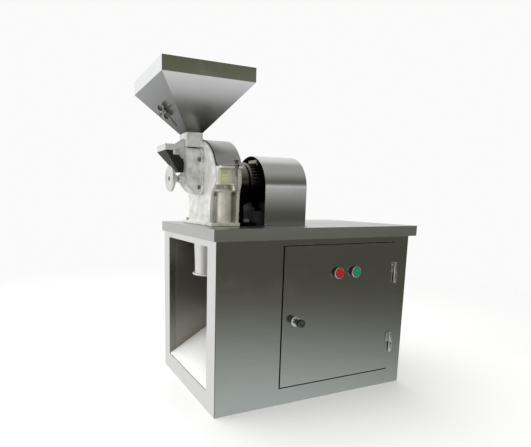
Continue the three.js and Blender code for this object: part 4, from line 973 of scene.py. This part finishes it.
def motor_cover():
    """The folded sheet arch over the motor, with its end plate louvred and screws in its feet."""
    c = Span("motor_cover")
    y, radius = c.cy, (c.y1 - c.y0) / 2
    spring, sheet = c.z1 - radius, 2 * MM

    def outline(r, foot):
        return [(y - r, foot), (y + r, foot)] + arc(y, spring, r, 0, 180, 96)

    shell = cut(prism(outline(radius, c.z0), "X", c.x0, c.x1 - 0.2 * MM),
                prism(outline(radius - sheet, c.z0 - 5 * MM), "X", c.x0 - MM, c.x1 - sheet))
    louvres = [prism(rectangle(y - 45 * MM, y + 45 * MM, c.z0 + 60 * MM + 20 * MM * k,
                               c.z0 + 69 * MM + 20 * MM * k, 4 * MM), "X", c.x1 - 5 * MM, c.x1 + MM)
               for k in range(5)]
    shell = cut(shell, gather(*louvres))
    flanges = []
    for side in (-1, 1):
        reach = sorted((y + side * (radius - MM), y + side * (radius - 14 * MM)))
        flanges.append(prism(rectangle(c.x0 + MM, c.x1 - sheet, *reach, 2 * MM), "Z", c.z0, c.z0 + sheet))
    # A black lining inside the arch: a dark sheet standing for painted shade inside the cover.
    outer, inner, foot = radius - sheet - 0.2 * MM, radius - sheet - 1.6 * MM, c.z0 + 3 * MM
    arch = ([(y + outer, foot)] + arc(y, spring, outer, 0, 180, 96) + [(y - outer, foot), (y - inner, foot)]
            + arc(y, spring, inner, 180, 0, 96) + [(y + inner, foot)])
    shade_lining = prism(arch, "X", c.x0 + 3 * MM, c.x1 - sheet - 0.3 * MM)
    stand_for(gather(shell, *flanges), "motor_cover", edge=0.45 * MM)
    add_piece(shade_lining, "motor_cover_shade_lining", "stand", "lining_felt")
    heads = [screw_head("Z", x, y + side * (radius - 8 * MM), 3.4 * MM, c.z0 + sheet, c.z0 + sheet + 2 * MM)
             for side in (-1, 1) for x in (c.x0 + 16 * MM, c.x1 - 20 * MM)]
    add_piece(gather(*heads), "motor_cover_foot_screws", "stand", "machined_steel")


# ---------------------------------------------------------------- feed

def feed_throat():
    """The cast throat on the housing's face, with its flange, bolts and screw boss."""
    t, duct, screw = Span("feed_throat"), Span("feed_duct"), Span("throttle_screw")
    y, z = t.cy, screw.cz
    left = duct.x0
    y0, y1, z1 = duct.y0, duct.y1, t.z1
    z0 = t.z0 + 4 * MM
    wall = 3 * MM
    toe = [prism([(left - MM, z0 - MM), (left + reach, z0 - MM), (left - MM, z0 + reach)], "Y",
                 y0 - MM, y1 + MM)
           for reach in (25 * MM, 29.3 * MM)]
    shell = cut(prism(rectangle(y0, y1, z0, z1, 14 * MM), "X", left, t.x1), toe[0])
    flange = prism(rectangle(y0 - 8 * MM, y1 + 8 * MM, t.z0, z1 - 2 * MM, 16 * MM), "X", t.x1 - 6 * MM, t.x1)
    boss = lathe([(0, t.x0), (11 * MM, t.x0), (12 * MM, t.x0 + MM), (12 * MM, left - 3 * MM),
                  (16 * MM, left + MM), (0, left + MM)], "X", y, z, 64)
    ribs = [prism([(left - 13 * MM, z + a), (left + MM, z + a + b), (left + MM, z + a)], "Y",
                  y - 2.5 * MM, y + 2.5 * MM)
            for a, b in ((-10 * MM, -18 * MM), (10 * MM, 10 * MM))]
    pads = [rod("X", v, w, 8 * MM, t.x1 - 9 * MM, t.x1, MM, 32) for v, w in throat_bolts(t)]
    body = cast(gather(shell, flange, boss, *ribs, *pads), 1.1 * MM, 4)
    room = cut(prism(rectangle(y0 + wall, y1 - wall, z0 + wall, z1 + 20 * MM, 11 * MM), "X",
                     left + wall, t.x1 + 5 * MM), toe[1])
    hole = rod("X", y, z, 6.1 * MM, t.x0 - 5 * MM, left + 6 * MM)
    window = box(left - MM, left + wall + MM, y + 3 * MM, y + 26 * MM, t.z0 + 70 * MM, t.z0 + 110 * MM)
    stand_for(cut(body, room, hole, window), "feed_throat", name="feed_throat_casting")
    heads = [bolt("X", v, w, 10 * MM, t.x1 - 8.6 * MM, t.x1 - 14.5 * MM) for v, w in throat_bolts(t)]
    add_piece(gather(*heads), "throat_bolts", "stand", "nut_black")


def throat_bolts(t):
    """Where the flange's four bolts are, as (y, z): two beside the duct and two at the foot."""
    return [(t.y0 + 5.5 * MM, t.z0 + 98 * MM), (t.y1 - 5.5 * MM, t.z0 + 98 * MM),
            (t.y0 + 5.5 * MM, t.z0 + 22 * MM), (t.y1 - 5.5 * MM, t.z0 + 22 * MM)]


def hopper_trim():
    """The rim's turned-in hem and the welded seams inside the hopper's four corners."""
    h, duct = Span("feed_hopper"), Span("feed_duct")
    band = 36.5 * MM
    hem, sheet = 7 * MM, 1.6 * MM
    x0, x1, y0, y1 = h.x0 + 2.7 * MM, h.x1 - 2.7 * MM, h.y0 + 2.7 * MM, h.y1 - 2.7 * MM
    outer = box(x0, x1, y0, y1, h.z1 - hem, h.z1 - 0.6 * MM)
    inner = box(x0 + sheet, x1 - sheet, y0 + sheet, y1 - sheet, h.z1 - hem - MM, h.z1 + MM)
    add_piece(cut(outer, inner), "hopper_rim_hem", "stand", "hopper_steel", 0.6 * MM)
    seams = []
    for x, foot_x in ((x0, duct.x0 + 4.5 * MM), (x1, duct.x1 - 4.5 * MM)):
        for y, foot_y in ((y0, duct.y0 + 4.5 * MM), (y1, duct.y1 - 4.5 * MM)):
            top = Vector((x, y, h.z1 - band))
            foot = Vector((foot_x, foot_y, duct.z1 + 4 * MM))
            seams.append(bead(top, foot, 1.5 * MM))
            seams.append(bead(Vector((x, y, h.z1 - hem)), top, 1.3 * MM))
    add_piece(gather(*seams), "hopper_weld_seams", "stand", "hopper_steel")


def bead(start, end, radius, ripple=0.18):
    """A rod between two points; a weld bead's swells and narrows in even ripples."""
    along, pitch, sides = end - start, 3.2 * MM, 8
    count = max(4, int(along.length / pitch * 4))
    turn = along.to_track_quat("Z", "Y").to_matrix().to_4x4()
    profile = [(0.0, 0.0)]
    for k in range(count + 1):
        swell = 1 - ripple + ripple * math.cos(math.pi * k / 2)
        profile.append((radius * swell, along.length * k / count))
    profile.append((0.0, along.length))
    return turned_copy(lathe(profile, "Z", 0, 0, sides), Matrix.Translation(start) @ turn)


def wing_nut():
    """A cast wing nut with two dished ears, on the gate's threaded stud."""
    joint = next(j for j in frame["joints"] if j["child"] == "gate_wing_nut")
    inward = Vector(joint["axis"])
    if inward.x < 0:
        inward = -inward
    down = Vector((0, 1, 0)).cross(inward)
    if down.z > 0:
        down = -down
    across = inward.cross(down)
    turn = Matrix((down, across, inward)).transposed().to_4x4()
    pose = Matrix.Translation(Vector(joint["pos_m"])) @ turn
    corners = [pose.inverted() @ v.co for v in frame["nodes"]["gate_wing_nut"].data.vertices]
    foot = max(c.z for c in corners)
    hub = lathe(soften([(3.2 * MM, foot - 12 * MM), (6.4 * MM, foot - 12 * MM), (9 * MM, foot),
                        (3.2 * MM, foot)], 1.2 * MM), "Z", 0, 0, 48)
    ear_mm = ((5, -1.5), (5, -11), (9, -14), (14, -15.5), (19, -14), (22, -9), (20.6, -3.5),
              (16, -1.2), (10, -2.5))
    ears = []
    for side in (-1, 1):
        outline = [(side * u * MM, foot + v * MM) for u, v in ear_mm]
        ear = prism(soften(outline, 4 * MM), "Y", -2 * MM, 2 * MM)
        dishes = [rod("Y", side * 14.8 * MM, foot - 8.4 * MM, 4.4 * MM, *depth)
                  for depth in ((-3 * MM, -1.1 * MM), (1.1 * MM, 3 * MM))]
        ears.append(cut(ear, *dishes))
    nut = gather(hub, *ears)
    stand_for(turned_copy(nut, pose), "gate_wing_nut", name="gate_wing_nut_casting", edge=0.5 * MM)


def side_funnel():
    """The bowl of the side funnel, near-black as a painted reflection of dark surroundings, and its pale rim with
    the gusset and a rolled edge.
    """
    f = Span("side_funnel")
    band, top = f.z1 - 32 * MM, f.z1 - 17 * MM
    upper = join(box(f.x0 - MM, f.x1 + MM, f.y0 - MM, f.y1 + MM, band, f.z1 + MM),
                 box(f.x1 - 33 * MM, f.x1 + MM, f.y0 - MM, f.y0 + 2.1 * MM, f.z1 - 62 * MM, band + MM))
    rim = boolean(copy_of("side_funnel"), "INTERSECT", [copied(upper)])
    bowl = cut(copy_of("side_funnel"), upper)
    r = 1.5 * MM
    corners = [(f.x1 - 30 * MM, f.y0), (f.x0, f.y0), (f.x0, f.y1), (f.x1, f.y1)]
    roll = [bead(Vector((*a, top)), Vector((*b, top)), r, ripple=0.0) for a, b in zip(corners, corners[1:])]
    add_piece(gather(rim, *roll), "side_funnel_rim", "stand", "rim_steel", 0.3 * MM)
    stand_for(bowl, "side_funnel", name="side_funnel_bowl", edge=0.4 * MM)


def handwheel():
    """A dished wheel with a knurled rim, its centre screw, and the threaded throttle screw."""
    w, screw = Span("handwheel"), Span("throttle_screw")
    y, z, radius = w.cy, w.cz, (w.z1 - w.z0) / 2
    x0 = w.x0
    rim_back = x0 + 11 * MM
    face = [(0, x0 + 1.6 * MM), (12 * MM, x0 + 1.4 * MM), (13 * MM, x0 + 2.6 * MM),
            (radius - 9 * MM, x0 + 2.6 * MM), (radius - 7 * MM, x0 + 0.2 * MM), (radius - 3 * MM, x0),
            (radius, x0 + 3 * MM), (radius, rim_back - 3.4 * MM), (radius - 3 * MM, rim_back),
            (radius - 7 * MM, rim_back - 0.6 * MM), (radius - 9 * MM, rim_back - 2.6 * MM),
            (14 * MM, rim_back - 2.6 * MM), (11 * MM, rim_back), (10 * MM, w.x1), (6.1 * MM, w.x1),
            (6.1 * MM, rim_back - 2 * MM), (0, rim_back - 2 * MM)]
    disc = lathe(soften(face, 1.4 * MM, closed=False), "X", y, z, 128)
    knurls = [rod("X", *p, 2 * MM, x0 - MM, rim_back + MM, 0.1 * MM, 12)
              for p in circle(y, z, radius + 1.3 * MM, 36)]
    stand_for(cut(disc, gather(*knurls)), "handwheel")
    centre = gather(rod("X", y, z, 6.2 * MM, x0 + 2 * MM, x0 + 0.9 * MM, 0.3 * MM, 32),
                    hex_head("X", y, z, 8.6 * MM, x0 + 1.2 * MM, x0 + 0.05 * MM))
    add_piece(centre, "handwheel_screw", "handwheel", "nut_black")
    thread = threaded("X", y, z, 6 * MM, screw.x0, screw.x1, 2 * MM)
    stand_for(thread, "throttle_screw")


# ---------------------------------------------------------------- the whole

def make_floor():
    """A pale round floor that thins out into the white of the studio."""
    bm = bmesh.new()
    bmesh.ops.create_circle(bm, cap_ends=True, segments=96, radius=FLOOR_RADIUS)
    bmesh.ops.translate(bm, verts=bm.verts, vec=(0, 0, -0.5 * MM))
    floor = solid_of(bm)
    floor.name = "studio_floor"
    floor.data.shade_smooth()
    floor.visible_glossy = False
    s = Surface("pale_floor", Metallic=0.0, Specular_IOR_Level=0.0)
    tone = s.mix(s.remap(s.noise((3, 3, 3), detail=3.0), 0.3, 0.7), grey(0.945), grey(0.955))
    away = s.node("ShaderNodeVectorMath", {0: s.where}, operation="LENGTH").outputs["Value"]
    s.tree.links.new(s.remap(away, 0.35 * FLOOR_RADIUS, 0.98 * FLOOR_RADIUS, FLOOR_COVER, 0.0),
                     s.shader.inputs["Alpha"])
    floor.data.materials.append(s.done(tone, s.remap(s.noise((40, 40, 40)), 0.3, 0.7, 0.55, 0.62)))


make_camera()
make_world()
soft_light("top_light", (-0.3, 1.0, 2.9), (0, 0.1, 0.3), 3.0, 2.4, 55)
soft_light("left_light", (-2.6, 0.5, 1.3), (-0.1, 0.0, 0.45), 1.6, 2.2, 22)
soft_light("front_light", (-1.4, -2.6, 1.5), (-0.1, 0.0, 0.5), 2.4, 1.6, 42)
make_floor()
dress_cad_nodes()
hinges()
push_buttons()
latch()
spigot()
cable_gland()
electrics()
milling_head()
swing_bolt()
bearing_housing()
motor()
motor_cover()
feed_throat()
hopper_trim()
wing_nut()
side_funnel()
handwheel()

bpy.context.scene.view_settings.view_transform = "Standard"
